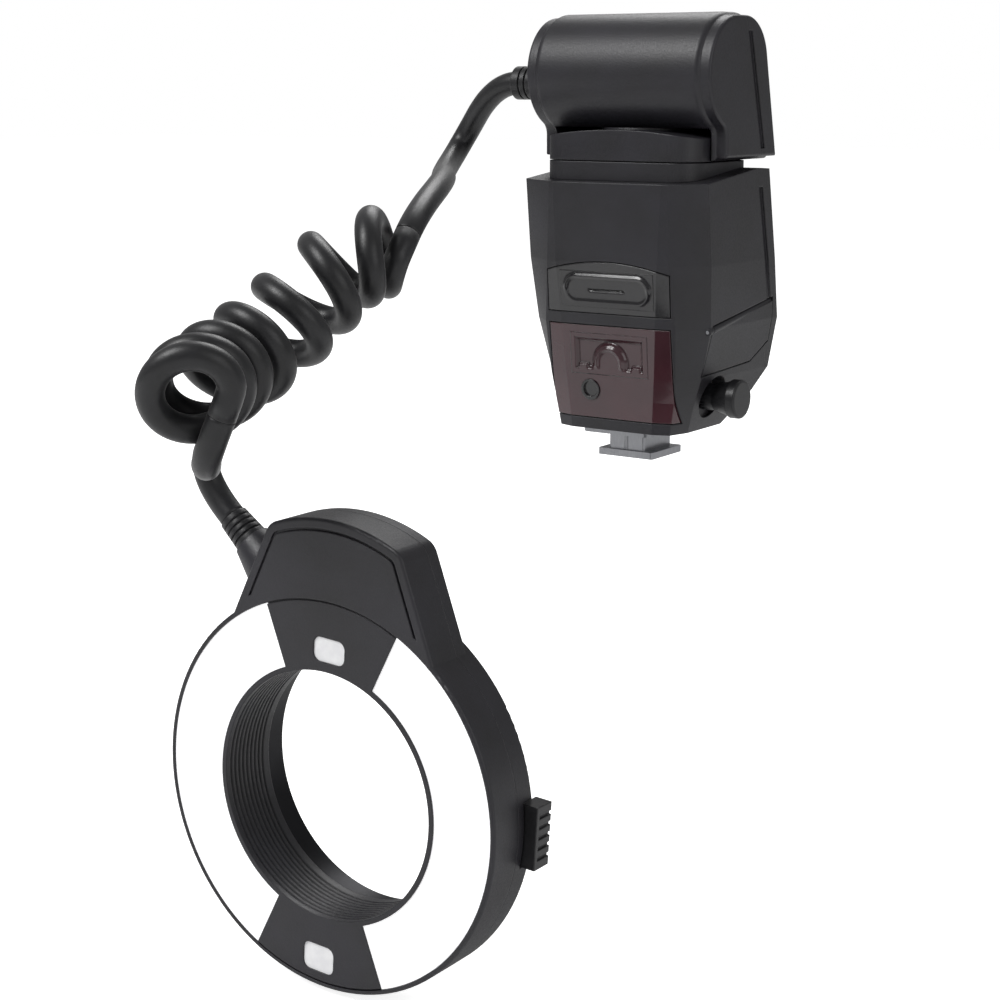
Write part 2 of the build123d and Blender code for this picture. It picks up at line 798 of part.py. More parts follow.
# Display and buttons on the back
lcd_module_plate = 1.6
lcd_margin = 1.5
mat_gap = 0.1
flange_margin_small = 0.8
mat_low_z = 41.0
mat_high_z = 59.0
mat_half = 18.0
mat_depth = wall + mat_gap + button_flange + button_travel + mat_gap

with BuildPart() as lcd_window:
    add(rear_prism(lcd_plan, (0, lcd_up), -lcd_glass - seam_gap, -seam_gap))
save(lcd_window, "lcd_window")

with BuildPart() as lcd_module:
    module_plan = rounded_plan(lcd_width + 2 * lcd_margin, lcd_height + lcd_margin, lcd_margin / 2)
    add(rear_prism(module_plan, (0, lcd_up), -wall - lcd_module_plate, -wall))
    core_plan = rounded_plan(lcd_width - lcd_margin, lcd_height - lcd_margin, lcd_margin / 2)
    add(rear_prism(core_plan, (0, lcd_up), -wall, -lcd_glass - seam_gap))
save(lcd_module, "lcd_module")


def button(label, plan, flange_plan, place):
    """A button: its cap through the panel and its flange behind the panel."""
    with BuildPart() as cap:
        add(rear_prism(plan, place, -wall - mat_gap - button_flange, button_proud))
        add(rear_prism(flange_plan, place, -wall - mat_gap - button_flange, -wall - mat_gap))
    save(cap, label)


flange_plan = rounded_plan(
    button_width + 2 * flange_margin_small, button_height + 2 * flange_margin_small, button_radius)
for label, place in button_places.items():
    button(label, button_plan, flange_plan, place)
button("button_test", round_plan(test_radius), round_plan(test_radius + flange_margin_small), test_place)

with BuildPart() as button_mat:
    with BuildSketch(Plane.YZ.offset(-mat_half)):
        with BuildLine():
            top_y = body_back - back_lean_share * (mat_high_z - deck_z / 2 + 0.5) - mat_depth
            low_y = body_back - back_lean_share * (mat_low_z - deck_z / 2 + 0.5) - mat_depth
            mat_y = tray_high[1] + board_plate
            Polyline((mat_y, mat_low_z), (low_y, mat_low_z), (top_y, mat_high_z), (mat_y, mat_high_z), close=True)
        make_face()
    extrude(amount=2 * mat_half)
    add(rear_prism(rounded_plan(2 * switch_slot[0], 3 * switch_slot[1], button_radius), switch_place,
                   -mat_depth - button_flange, overrun), mode=Mode.SUBTRACT)
save(button_mat, "button_mat")

switch_knob = (4.6, 3.0)
switch_proud = 1.3
switch_place_rest = (switch_place[0] - switch_travel / 2, switch_place[1])
with BuildPart() as power_switch:
    knob_plan = rounded_plan(*switch_knob, button_radius)
    plate_plan = rounded_plan(switch_slot[0], switch_slot[1] + 2 * flange_margin_small, button_radius)
    add(rear_prism(knob_plan, switch_place_rest, -wall - mat_gap - button_flange, switch_proud))
    add(rear_prism(plate_plan, switch_place_rest, -wall - mat_gap - button_flange, -wall - mat_gap))
save(power_switch, "power_switch")

# Collar on the deck with the swivel's hub
with BuildPart() as neck_collar:
    add(rounded_block(collar_half_width, collar_front, collar_back, collar_radius, hub_z, collar_z))
    add(outer_block, mode=Mode.SUBTRACT)
    add(rod((0, swivel_y, hub_z), (0, swivel_y, collar_z), hub_radius))
    add(rod((0, swivel_y, 0), (0, swivel_y, 2 * collar_z), spindle_radius + running_gap), mode=Mode.SUBTRACT)
save(neck_collar, "neck_collar")

# Head: a barrel with two cheeks that reach down round the neck
head_core_half = 27.4
head_inset = 0.9
cheek_z = 86.8
pocket_half = 25.7
pocket_front = 20.0
pocket_back = 21.6
pocket_z = 96.0
neck_fillet = 3.0
core_round = 2.2
cap_round = 0.9
rib_x = 15.0
rib_plate = 1.5
head_channel_low_z = 90.0
head_channel_high_z = 123.0
barrel_foot_z = barrel_z - sqrt(barrel_radius ** 2 - (cheek_front + barrel_y) ** 2)


def head_profile(inset):
    """Side view of the head, drawn in by an inset, with Y as its X and Z as its Y."""
    with BuildSketch() as profile:
        with BuildLine():
            Line((head_back, cheek_z), (-cheek_front, cheek_z))
            Line((-cheek_front, cheek_z), (-cheek_front, barrel_foot_z))
            ThreePointArc((-cheek_front, barrel_foot_z), (barrel_y - barrel_radius, barrel_z),
                          (barrel_y, barrel_z + barrel_radius))
            top_back_y = head_back - (barrel_z + barrel_radius - cheek_z) * tan(radians(head_back_lean))
            Line((barrel_y, barrel_z + barrel_radius), (top_back_y, barrel_z + barrel_radius))
            Line((top_back_y, barrel_z + barrel_radius), (head_back, cheek_z))
        make_face()
        corner = profile.vertices().sort_by(Axis.Y)[-2:].sort_by(Axis.X)[-1]
        fillet(corner, head_back_radius)
        foot = profile.vertices().filter_by(
            lambda v: abs(v.Y - barrel_foot_z) < running_gap and v.X < 0)
        fillet(foot, neck_fillet)
        if inset:
            offset(amount=-inset)
    return profile.sketch


def profile_block(sketch, half, edge_radius):
    """The profile drawn out to both sides, with its end edges rounded."""
    with BuildPart() as block:
        with BuildSketch(Plane.YZ.offset(-half)):
            add(sketch)
        extrude(amount=2 * half)
        if edge_radius:
            ends = block.faces().sort_by(Axis.X)
            fillet(ends[0].edges() + ends[-1].edges(), edge_radius)
    return block.part


head_parting = Plane(
    origin=(0, head_parting_y, barrel_z + barrel_radius),
    x_dir=(1, 0, 0),
    z_dir=(0, cos(radians(head_parting_lean)), sin(radians(head_parting_lean))),
)
behind_head_parting = half_space(head_parting)

with BuildPart() as head_shell:
    add(profile_block(head_profile(0), head_core_half, core_round))
    add(profile_block(head_profile(head_inset), head_half_width, cap_round))
    with BuildPart(mode=Mode.PRIVATE) as hollow:
        add(profile_block(head_profile(wall), head_half_width - wall, 0))
        add(box_between((-head_half_width, -2 * head_back, 0),
                        (head_half_width, 2 * head_back, pocket_z + wall)), mode=Mode.SUBTRACT)
        for x in (-rib_x, rib_x):
            add(box_between((x, -head_back, cheek_z), (x + rib_plate, head_back, barrel_z + barrel_radius)),
                mode=Mode.SUBTRACT)
        add(rod((-head_half_width + wall, barrel_y, barrel_z), (head_half_width - wall, barrel_y, barrel_z),
                capacitor_radius))
    add(hollow.part, mode=Mode.SUBTRACT)
    add(box_between((-pocket_half, -pocket_front, cheek_z - overrun), (pocket_half, pocket_back, pocket_z)),
        mode=Mode.SUBTRACT)
    add(rod((0, swivel_y, cheek_z), (0, swivel_y, spindle_top), spindle_radius), mode=Mode.SUBTRACT)
    add(rod((-head_half_width, gland_y, gland_z), (wall - head_half_width, gland_y, gland_z),
            gland_stem_radius), mode=Mode.SUBTRACT)
    add(rod((-head_half_width - overrun, gland_y, gland_z), (-head_half_width, gland_y, gland_z),
            gland_radius), mode=Mode.SUBTRACT)
    add(seam_channel(head_parting, head_channel_low_z, head_channel_high_z, head_half_width),
        mode=Mode.SUBTRACT)

with BuildPart() as head_front_shell:
    add(head_shell.part)
    add(behind_head_parting, mode=Mode.SUBTRACT)
save(head_front_shell, "head_front_shell")

with BuildPart() as head_rear_shell:
    add(head_shell.part)
    add(behind_head_parting, mode=Mode.INTERSECT)
save(head_rear_shell, "head_rear_shell")

boss_radius = 13.5
with BuildPart() as neck_block:
    add(rounded_block(collar_half_width, collar_front, collar_back, collar_radius, neck_z,
                      neck_side_z + neck_crown))
    with BuildPart(mode=Mode.PRIVATE) as arch:
        with BuildSketch(Plane.XZ.offset(-2 * collar_back)):
            with BuildLine():
                ThreePointArc((-collar_half_width, neck_side_z), (0, neck_side_z + neck_crown),
                              (collar_half_width, neck_side_z))
                Polyline((collar_half_width, neck_side_z), (collar_half_width, neck_z),
                         (-collar_half_width, neck_z), (-collar_half_width, neck_side_z))
            make_face()
        extrude(amount=4 * collar_back)
    add(arch.part, mode=Mode.INTERSECT)
    add(rod((0, swivel_y, neck_z), (0, swivel_y, pocket_z), boss_radius))
    add(rod((0, swivel_y, 0), (0, swivel_y, spindle_top), spindle_radius), mode=Mode.SUBTRACT)
save(neck_block, "neck_block")

# Hollow spindle, the capacitor in the barrel and the cord's gland
with BuildPart() as swivel_spindle:
    flange_top_z = hub_z - 2 * running_gap
    add(rod((0, swivel_y, flange_top_z - spindle_flange), (0, swivel_y, spindle_top), spindle_radius))
    add(rod((0, swivel_y, flange_top_z - spindle_flange), (0, swivel_y, flange_top_z),
            spindle_flange_radius))
    add(rod((0, swivel_y, 0), (0, swivel_y, 2 * spindle_top), spindle_bore), mode=Mode.SUBTRACT)
save(swivel_spindle, "swivel_spindle")

with BuildPart() as main_capacitor:
    add(rod((-capacitor_length / 2, barrel_y, barrel_z), (capacitor_length / 2, barrel_y, barrel_z),
            capacitor_radius))
    fillet(edges(), core_round / 2)
save(main_capacitor, "main_capacitor")

gland_groove = 0.5
gland_nut = 1.6
gland_tip_x = -head_half_width - gland_length
with BuildPart() as cord_gland:
    add(rod((-head_half_width, gland_y, gland_z), (wall - head_half_width, gland_y, gland_z),
            gland_stem_radius))
    add(rod((wall - head_half_width, gland_y, gland_z), (wall + gland_nut - head_half_width, gland_y, gland_z),
            gland_radius))
    add(rod((gland_tip_x, gland_y, gland_z), (-head_half_width, gland_y, gland_z), gland_radius))
    for share in (0.3, 0.55, 0.8):
        groove_x = gland_tip_x + share * gland_length
        with BuildPart(mode=Mode.PRIVATE) as groove:
            add(rod((groove_x, gland_y, gland_z), (groove_x + gland_groove, gland_y, gland_z), 2 * gland_radius))
            add(rod((groove_x, gland_y, gland_z), (groove_x + gland_groove, gland_y, gland_z),
                    gland_radius - gland_groove), mode=Mode.SUBTRACT)
        add(groove.part, mode=Mode.SUBTRACT)
save(cord_gland, "cord_gland")

# Ring head, on planes square to the lens axis; a plane's own Y is up and its Z towards the front
ring_turn_x = (cos(radians(ring_turn)), 0, -sin(radians(ring_turn)))


def ring_plane(depth):
    """Plane across the lens axis at a depth behind the ring's front face."""
    return Plane(origin=(0, depth - ring_front, ring_axis_z), x_dir=ring_turn_x, z_dir=(0, -1, 0))


def ring_point(x, y, depth):
    """World point of a place on the ring head."""
    return ring_plane(depth).from_local_coords(Vector(x, y, 0))


def layer(shape, front, back):
    """Solid over a plan shape between two depths."""
    with BuildPart() as slab:
        with BuildSketch(ring_plane(back)):
            add(shape)
        extrude(amount=back - front)
    return slab.part


def annulus(outer, inner):
    """Plan of a flat ring."""
    with BuildSketch() as plan:
        Circle(outer)
        Circle(inner, mode=Mode.SUBTRACT)
    return plan.sketch


def hood_plan(inset):
    """Plan of the ring's outline with its hood on top."""
    with BuildSketch() as plan:
        with BuildLine():
            Polyline((hood_high_half, hood_high_y), (hood_low_half, hood_low_y),
                     (-hood_low_half, hood_low_y), (-hood_high_half, hood_high_y))
            ThreePointArc((-hood_high_half, hood_high_y), (0, hood_top), (hood_high_half, hood_high_y))
        make_face()
        fillet(plan.vertices().sort_by(Axis.Y)[-2:], hood_corner_radius)
        Circle(ring_radius)
        if inset:
            offset(amount=-inset)
    return plan.sketch


def polygon(points):
    """Plan of a closed polygon."""
    with BuildSketch() as plan:
        with BuildLine():
            Polyline(*points, close=True)
        make_face()
    return plan.sketch


def cut_plan(base, *tools):
    """Plan of a shape less the tools."""
    with BuildSketch() as plan:
        add(base)
        for tool in tools:
            add(tool, mode=Mode.SUBTRACT)
    return plan.sketch


def common_plan(base, tool):
    """Plan that two shapes share."""
    with BuildSketch() as plan:
        add(base)
        add(tool, mode=Mode.INTERSECT)
    return plan.sketch


def moved_plan(shape, x, y):
    """Plan moved across the ring."""
    with BuildSketch() as plan:
        with Locations((x, y)):
            add(shape)
    return plan.sketch


ring_wall = 1.8
rim_round = 0.8
hood_groove = 0.7
hood_groove_inset = 2.4
seam_groove = 0.4
screw_places = ((-18.5, 56.5), (18.5, 56.5), (17.0, -46.1), (-17.0, -46.1))
screw_radius = 0.8
screw_head_radius = 1.5
screw_head = 1.2
post_radius = 1.5
post_depth = 3.0
boss_tip = (boss_start[0] + boss_length * boss_way[0], boss_start[1] + boss_length * boss_way[1])
boot_tip = (boss_tip[0] + boot_length * boss_way[0], boss_tip[1] + boot_length * boss_way[1])
boss_out = ring_point(*boss_tip, boss_depth) - ring_point(*boss_start, boss_depth)


def boss_plane(share, start, end):
    """Plane across the cord's boss, at a share of the way between two places on the ring."""
    x = start[0] + share * (end[0] - start[0])
    y = start[1] + share * (end[1] - start[1])
    return Plane(origin=ring_point(x, y, boss_depth), z_dir=boss_out)


with BuildPart() as cord_boss:
    with BuildSketch(boss_plane(0, boss_start, boss_tip)):
        Circle(boss_base_radius)
    with BuildSketch(boss_plane(1, boss_start, boss_tip)):
        Circle(boss_tip_radius)
    loft()

bridge_outer_y = sqrt(ring_opening ** 2 - bridge_outer_half ** 2)
bridge_spread = (bridge_outer_half - bridge_inner_half) / (bridge_outer_y - bore_radius)
bridge_far_half = bridge_outer_half + bridge_spread * overrun
bridge_near_half = bridge_inner_half - bridge_spread * overrun
bridge_top = polygon([
    (-bridge_far_half, bridge_outer_y + overrun),
    (bridge_far_half, bridge_outer_y + overrun),
    (bridge_near_half, bore_radius - overrun),
    (-bridge_near_half, bore_radius - overrun),
])
bridge_low = mirror(bridge_top, about=Plane.XZ)
window_opening = annulus(ring_opening, bore_radius)
lamp_top = moved_plan(rounded_plan(lamp_width, lamp_height, lamp_height / 3), 0, lamp_y)
lamp_low = moved_plan(rounded_plan(lamp_width, lamp_height + contact_radius, lamp_height / 3), 0, lamp_low_y)

with BuildPart() as ring_front_shell:
    add(layer(hood_plan(0), 0, front_shell_depth))
    front_rim = ring_front_shell.faces().sort_by(Axis.Y)[0].edges()
    fillet(front_rim, rim_round)
    with BuildPart(mode=Mode.PRIVATE) as front_boss:
        add(cord_boss.part)
        add(layer(round_plan(2 * hood_top), 0, front_shell_depth), mode=Mode.INTERSECT)
    add(front_boss.part)
    add(layer(round_plan(ring_opening), -overrun, 2 * front_shell_depth), mode=Mode.SUBTRACT)
    hood_hollow = cut_plan(hood_plan(ring_wall), round_plan(ring_radius + ring_wall / 2))
    with BuildPart(mode=Mode.PRIVATE) as hollow:
        add(layer(hood_hollow, ring_wall, 2 * front_shell_depth))
        for x, y in screw_places[:2]:
            add(layer(moved_plan(round_plan(post_radius), x, y), 0, front_shell_depth), mode=Mode.SUBTRACT)
        with BuildPart(mode=Mode.PRIVATE) as boss_keep:
            add(cord_boss.part)
        add(boss_keep.part, mode=Mode.SUBTRACT)
    add(hollow.part, mode=Mode.SUBTRACT)
    for x, y in screw_places[2:]:
        add(layer(moved_plan(round_plan(post_radius), x, y), post_depth, front_shell_depth))
    groove_ring = cut_plan(hood_plan(hood_groove_inset), hood_plan(hood_groove_inset + hood_groove),
                           round_plan(ring_radius + ring_wall))
    add(layer(groove_ring, -overrun, hood_groove), mode=Mode.SUBTRACT)
    for x, y in screw_places:
        add(layer(moved_plan(round_plan(screw_radius), x, y), post_depth, 2 * front_shell_depth),
            mode=Mode.SUBTRACT)
save(ring_front_shell, "ring_front_shell")

# Slots for the release sliders: one per side through the wall, and one in the collar
release_gap = 0.35
slot_plan_right = polygon([
    (ring_radius - 4 * ring_wall, -release_height / 2 - release_gap),
    (ring_radius + overrun, -release_height / 2 - release_gap),
    (ring_radius + overrun, release_height / 2 + release_gap),
    (ring_radius - 4 * ring_wall, release_height / 2 + release_gap),
])
slot_plan_left = mirror(slot_plan_right, about=Plane.YZ)
claw_slot = polygon([
    (-ring_radius, -claw_width / 2 - release_gap),
    (ring_radius, -claw_width / 2 - release_gap),
    (ring_radius, claw_width / 2 + release_gap),
    (-ring_radius, claw_width / 2 + release_gap),
])
collar_outer = adapter_radius + running_gap + collar_wall
hood_back_depth = 13.6
groove_depth = 1.5
lug_half = 1.2
spring_length = 8.0
spring_radius = 0.55
slider_outer = slider_inner + slider_width
stop_end = -lug_half - spring_length
stop_low = polygon([
    (stop_end - ring_wall, -ring_radius), (stop_end, -ring_radius),
    (stop_end, -slider_outer - spring_radius), (stop_end - ring_wall, -slider_outer - spring_radius),
])
stop_top = stop_low.rotate(Axis.Z, 180)

with BuildPart() as ring_rear_shell:
    add(layer(round_plan(ring_radius), front_shell_depth, ring_depth))
    fillet(ring_rear_shell.faces().sort_by(Axis.Y)[-1].edges(), rim_round)
    add(layer(hood_plan(0), front_shell_depth, hood_back_depth))
    add(layer(round_plan(back_radius), front_shell_depth, back_depth))
    with BuildPart(mode=Mode.PRIVATE) as rear_boss:
        add(cord_boss.part)
        add(layer(round_plan(2 * hood_top), front_shell_depth, 2 * back_depth), mode=Mode.INTERSECT)
    add(rear_boss.part)
    with BuildPart(mode=Mode.PRIVATE) as hollow:
        add(layer(round_plan(ring_radius - ring_wall), front_shell_depth, ring_depth - ring_wall))
        add(layer(round_plan(back_radius - ring_wall / 2), front_shell_depth, back_depth - back_plate))
        add(layer(hood_hollow, front_shell_depth, hood_back_depth - ring_wall))
        for x, y in screw_places:
            add(layer(moved_plan(round_plan(post_radius), x, y), 0, back_depth), mode=Mode.SUBTRACT)
        for stop in (stop_low, stop_top):
            add(layer(stop, slider_depth, ring_depth), mode=Mode.SUBTRACT)
    add(hollow.part, mode=Mode.SUBTRACT)
    add(layer(round_plan(adapter_radius + running_gap), 0, 2 * back_depth), mode=Mode.SUBTRACT)
    add(layer(annulus(collar_outer, adapter_radius + running_gap), collar_depth, back_depth))
    add(layer(slot_plan_right, release_depth - release_gap, 2 * back_depth), mode=Mode.SUBTRACT)
    add(layer(slot_plan_left, release_depth - release_gap, 2 * back_depth), mode=Mode.SUBTRACT)
    add(layer(claw_slot, slider_depth - release_gap, slider_depth + slider_plate + release_gap),
        mode=Mode.SUBTRACT)
    for x, y in screw_places:
        add(layer(moved_plan(round_plan(screw_radius), x, y), 0, 2 * back_depth), mode=Mode.SUBTRACT)
save(ring_rear_shell, "ring_rear_shell")

# Bore sleeve and bridges, in one moulding
sleeve_rib = 0.4
sleeve_rib_pitch = 1.5
bridge_seam = 0.5
bridge_rebate = 0.5
lamp_ledge = 0.8
bridge_plans = [common_plan(window_opening, bridge_top), common_plan(window_opening, bridge_low)]
sleeve_outer = bore_radius + bore_wall

with BuildPart() as inner_frame:
    add(layer(annulus(sleeve_outer, bore_radius), 0, ring_depth))
    for plan in bridge_plans:
        add(layer(plan, 0, bridge_plate))
    seam_ring = annulus(ring_opening + overrun, ring_opening - bridge_seam)
    add(layer(seam_ring, -overrun, bridge_rebate), mode=Mode.SUBTRACT)
    for lamp in (lamp_top, lamp_low):
        add(layer(lamp, -overrun, overrun), mode=Mode.SUBTRACT)
    rib_depth = sleeve_rib_pitch
    while rib_depth < ring_depth - sleeve_rib_pitch:
        add(layer(annulus(bore_radius + sleeve_rib, bore_radius - sleeve_rib), rib_depth,
                  rib_depth + sleeve_rib_pitch / 2), mode=Mode.SUBTRACT)
        rib_depth += sleeve_rib_pitch
save(inner_frame, "inner_frame")

with BuildPart() as lamp_windows:
    for lamp in (lamp_top, lamp_low):
        add(layer(lamp, lamp_ledge / 2, bridge_plate))
save(lamp_windows, "lamp_windows")

led_radius = 1.6
led_pitch = 4.4
led_gap = 0.6
with BuildPart() as focus_lamps:
    for y in (lamp_y, lamp_low_y):
        for x in (-led_pitch / 2, led_pitch / 2):
            add(layer(moved_plan(round_plan(led_radius), x, y), bridge_plate + led_gap, board_depth))
save(focus_lamps, "focus_lamps")

# Each side: diffuser, reflector and flash tube
side_gap = 0.15
reflector_wall = 0.8
lens_plan = cut_plan(annulus(ring_opening - side_gap, sleeve_outer), bridge_top, bridge_low)
right_half = polygon([(0, -2 * ring_radius), (2 * ring_radius, -2 * ring_radius),
                      (2 * ring_radius, 2 * ring_radius), (0, 2 * ring_radius)])
tube_left_angle = 180 - tube_span / 2


def side_plan(plan, mirrored):
    """The half of a plan on one side of the ring."""
    half = mirror(right_half, about=Plane.YZ) if mirrored else right_half
    return common_plan(plan, half)


def flash_tube_solid(start_angle):
    """Round tube along an arc in the reflector."""
    with BuildPart() as tube:
        plane = ring_plane(reflector_depth + reflector_height / 2)
        with BuildLine(plane) as arc:
            CenterArc((0, 0), tube_ring_radius, start_angle, tube_span)
        with BuildSketch(Plane(origin=arc.line @ 0, z_dir=arc.line % 0)):
            Circle(tube_radius)
        sweep()
    return tube


inner_trough = cut_plan(annulus(ring_opening - side_gap - reflector_wall, sleeve_outer + reflector_wall),
                        polygon([(-bridge_outer_half - reflector_wall, -ring_radius),
                                 (bridge_outer_half + reflector_wall, -ring_radius),
                                 (bridge_outer_half + reflector_wall, 0 - bore_radius / 2),
                                 (-bridge_outer_half - reflector_wall, 0 - bore_radius / 2)]),
                        polygon([(-bridge_outer_half - reflector_wall, bore_radius / 2),
                                 (bridge_outer_half + reflector_wall, bore_radius / 2),
                                 (bridge_outer_half + reflector_wall, ring_radius),
                                 (-bridge_outer_half - reflector_wall, ring_radius)]))
for mirrored, side in ((False, "right"), (True, "left")):
    with BuildPart() as diffuser:
        add(layer(side_plan(lens_plan, mirrored), diffuser_depth, diffuser_depth + diffuser_plate))
    save(diffuser, f"diffuser_{side}")
    tube = flash_tube_solid(tube_left_angle if mirrored else -tube_span / 2)
    with BuildPart() as reflector:
        add(layer(side_plan(lens_plan, mirrored), diffuser_depth + diffuser_plate, board_depth))
        add(layer(side_plan(inner_trough, mirrored), 0, board_depth - reflector_wall), mode=Mode.SUBTRACT)
        add(tube.part, mode=Mode.SUBTRACT)
    save(reflector, f"reflector_{side}")
    save(tube, f"flash_tube_{side}")

board_notches = [moved_plan(round_plan(post_radius), x, y) for x, y in screw_places[2:]]
with BuildPart() as ring_circuit_board:
    add(layer(cut_plan(annulus(ring_opening - ring_wall / 2, sleeve_outer), *board_notches),
              board_depth, board_depth + board_plate))
save(ring_circuit_board, "ring_circuit_board")

# Release sliders: each side button reaches round the adapter to a claw on the far side
claw_gap = 0.3
claw_reach = adapter_radius - groove_depth + claw_gap + slider_shift
arc_clear = 2.0
lug_outer = 48.6
spring_wire = 0.16
spring_turns = 6
button_rib = 0.5
button_rib_count = 5
link_low = release_height / 2 - arc_clear


def release_slider(direction):
    """Slider of the side at +X (1) or -X (-1); the one at -X is the other turned half round."""
    arc = cut_plan(
        annulus(slider_outer, slider_inner),
        polygon([(-ring_radius, claw_width / 2), (ring_radius * 2, claw_width / 2),
                 (ring_radius * 2, ring_radius), (-ring_radius, ring_radius)]),
        polygon([(0, -link_low), (ring_radius, -link_low), (ring_radius, ring_radius), (0, ring_radius)]),
    )
    claw = common_plan(
        polygon([(-slider_outer, -claw_width / 2), (0, -claw_width / 2),
                 (0, claw_width / 2), (-slider_outer, claw_width / 2)]),
        annulus(slider_outer, claw_reach))
    link = polygon([(slider_inner, -release_height / 2), (release_inner + slider_width, -release_height / 2),
                    (release_inner + slider_width, -link_low), (slider_inner, -link_low)])
    lug = polygon([(-lug_half, -lug_outer), (lug_half, -lug_outer),
                   (lug_half, -slider_inner - slider_width / 2), (-lug_half, -slider_inner - slider_width / 2)])
    with BuildPart() as slider:
        with BuildPart(mode=Mode.PRIVATE) as plate:
            for plan in (arc, claw, lug):
                add(layer(moved_plan(plan, slider_shift if plan is not lug else 0, 0),
                          slider_depth, slider_depth + slider_plate))
            add(layer(link, slider_depth, slider_depth + slider_plate))
        add(plate.part)
        cap = polygon([(release_inner, -release_height / 2), (release_reach, -release_height / 2),
                       (release_reach, release_height / 2), (release_inner, release_height / 2)])
        add(layer(cap, release_depth, release_back))
        for rib in range(button_rib_count):
            rib_y = release_height * ((rib + 1) / (button_rib_count + 1) - 1 / 2)
            groove = polygon([(release_reach - button_rib, rib_y - button_rib),
                              (release_reach + button_rib, rib_y - button_rib),
                              (release_reach + button_rib, rib_y + button_rib),
                              (release_reach - button_rib, rib_y + button_rib)])
            add(layer(groove, release_depth + button_rib * 2, 2 * release_back), mode=Mode.SUBTRACT)
    turned = slider.part
    if direction < 0:
        turned = turned.rotate(Axis((0, -ring_front, ring_axis_z), (0, 1, 0)), 180)
    return turned


def release_spring(direction):
    """Coil spring between a slider's lug and its post in the ring, with open straight ends."""
    spring_y = -(slider_outer + spring_radius * 2)
    start = ring_point(-lug_half - spring_length, spring_y, slider_depth + slider_plate / 2)
    way = ring_point(1, 0, 0) - ring_point(0, 0, 0)
    with BuildPart() as coil:
        with BuildLine() as helix:
            Helix(spring_length / spring_turns, spring_length, spring_radius, center=start, direction=way)
        with BuildSketch(Plane(origin=helix.line @ 0, z_dir=helix.line % 0)):
            Circle(spring_wire)
        sweep(is_frenet=True)
    turned = coil.part
    if direction < 0:
        turned = turned.rotate(Axis((0, -ring_front, ring_axis_z), (0, 1, 0)), 180)
    return turned


for direction, side in ((1, "right"), (-1, "left")):
    with BuildPart() as slider:
        add(release_slider(direction))
    save(slider, f"release_slider_{side}")
    with BuildPart() as spring:
        add(release_spring(direction))
    save(spring, f"release_spring_{side}")

# Lens adapter with the filter thread
groove_gap = 0.35
with BuildPart() as adapter_ring:
    add(layer(annulus(adapter_radius, adapter_bore), adapter_depth, adapter_back))
    add(layer(annulus(adapter_thread_radius, adapter_bore), adapter_back,
              adapter_back + adapter_thread_length))
    add(layer(annulus(adapter_radius + overrun, adapter_radius - groove_depth),
              slider_depth - groove_gap, slider_depth + slider_plate + groove_gap), mode=Mode.SUBTRACT)
save(adapter_ring, "adapter_ring")

with BuildPart() as ring_screws:
    for x, y in screw_places:
        head_back_at = hood_back_depth if y > 0 else ring_depth
        add(layer(moved_plan(round_plan(screw_radius), x, y), post_depth, head_back_at))
        add(layer(moved_plan(round_plan(screw_head_radius), x, y), head_back_at, head_back_at + screw_head))
save(ring_screws, "ring_screws")

# Ribbed boot of the cord
with BuildPart() as strain_relief:
    with BuildSketch(boss_plane(0, boss_tip, boot_tip)):
        Circle(boot_base_radius)
    with BuildSketch(boss_plane(1, boss_tip, boot_tip)):
        Circle(boot_tip_radius)
    loft()
    for rib in range(boot_rib_count - 1):
        share = (rib + 0.8) / boot_rib_count
        with BuildPart(mode=Mode.PRIVATE) as groove:
            with BuildSketch(boss_plane(share, boss_tip, boot_tip)):
                Circle(2 * boot_base_radius)
                Circle(boot_tip_radius - boot_rib_depth / 2, mode=Mode.SUBTRACT)
            extrude(amount=boot_length / boot_rib_count / 3)
        add(groove.part, mode=Mode.SUBTRACT)
save(strain_relief, "strain_relief")

# Cord: two plain stretches and the curls between them.  A row holds the loop's centre, the heading
# and the rise of its axis in degrees, and its radius, at each whole turn
coil_rows = (
    (-8.9, -183.4, 40.8, -43.6, 22.5, 8.7),
    (-13.7, -177.3, 40.0, -46.6, 22.8, 10.6),
    (-16.4, -167.3, 42.0, -28.6, 24.1, 10.1),
    (-16.7, -155.7, 45.9, -1.0, 35.5, 10.0),
    (-15.3, -142.8, 52.3, 15.9, 51.5, 10.0),
    (-15.4, -129.3, 59.7, 23.3, 39.7, 9.8),
    (-14.5, -113.4, 65.9, 43.2, 14.0, 9.0),
    (-14.4, -97.8, 65.9, 60.0, -16.6, 8.6),
)
coil_turns = len(coil_rows) - 1
coil_in = (0.394, 0.102, 0.913)      # way of the cord where it enters the curls
coil_out = (-0.1, 0.7, 0.7)     # way of the cord where it leaves them
upper_route = (
    (-28.0, -59.9, 83.1),
    (-55.1, -24.6, 81.5),
    (-66.2, 0.3, 89.2),
    (-47.2, gland_y, gland_z),
    (gland_tip_x, gland_y, gland_z),
)
lower_route = (
    (-38.1, -143.5, 25.1),
    (-27.1, -159.5, 22.5),
    (-17.5, -170.3, 20.1),
)
upper_run = 7.0
boot_run = 15.6
lower_run = 11.4
fillet_share = 0.45
least_gap = 0.4


def coil_row(turn):
    """The coil's row at any turn, on a smooth curve through the rows of whole turns."""
    index = min(int(turn), coil_turns - 1)
    share = turn - index
    rows = [coil_rows[min(max(index + step, 0), coil_turns)] for step in (-1, 0, 1, 2)]
    low = (rows[2][i] - rows[0][i] for i in range(6))
    high = (rows[3][i] - rows[1][i] for i in range(6))
    low = [a / (1 if index == 0 else 2) for a in low]
    high = [a / (1 if index == coil_turns - 1 else 2) for a in high]
    square = share * share
    cube = square * share
    return [
        (2 * cube - 3 * square + 1) * rows[1][i] + (cube - 2 * square + share) * low[i]
        + (3 * square - 2 * cube) * rows[2][i] + (cube - square) * high[i]
        for i in range(6)
    ]


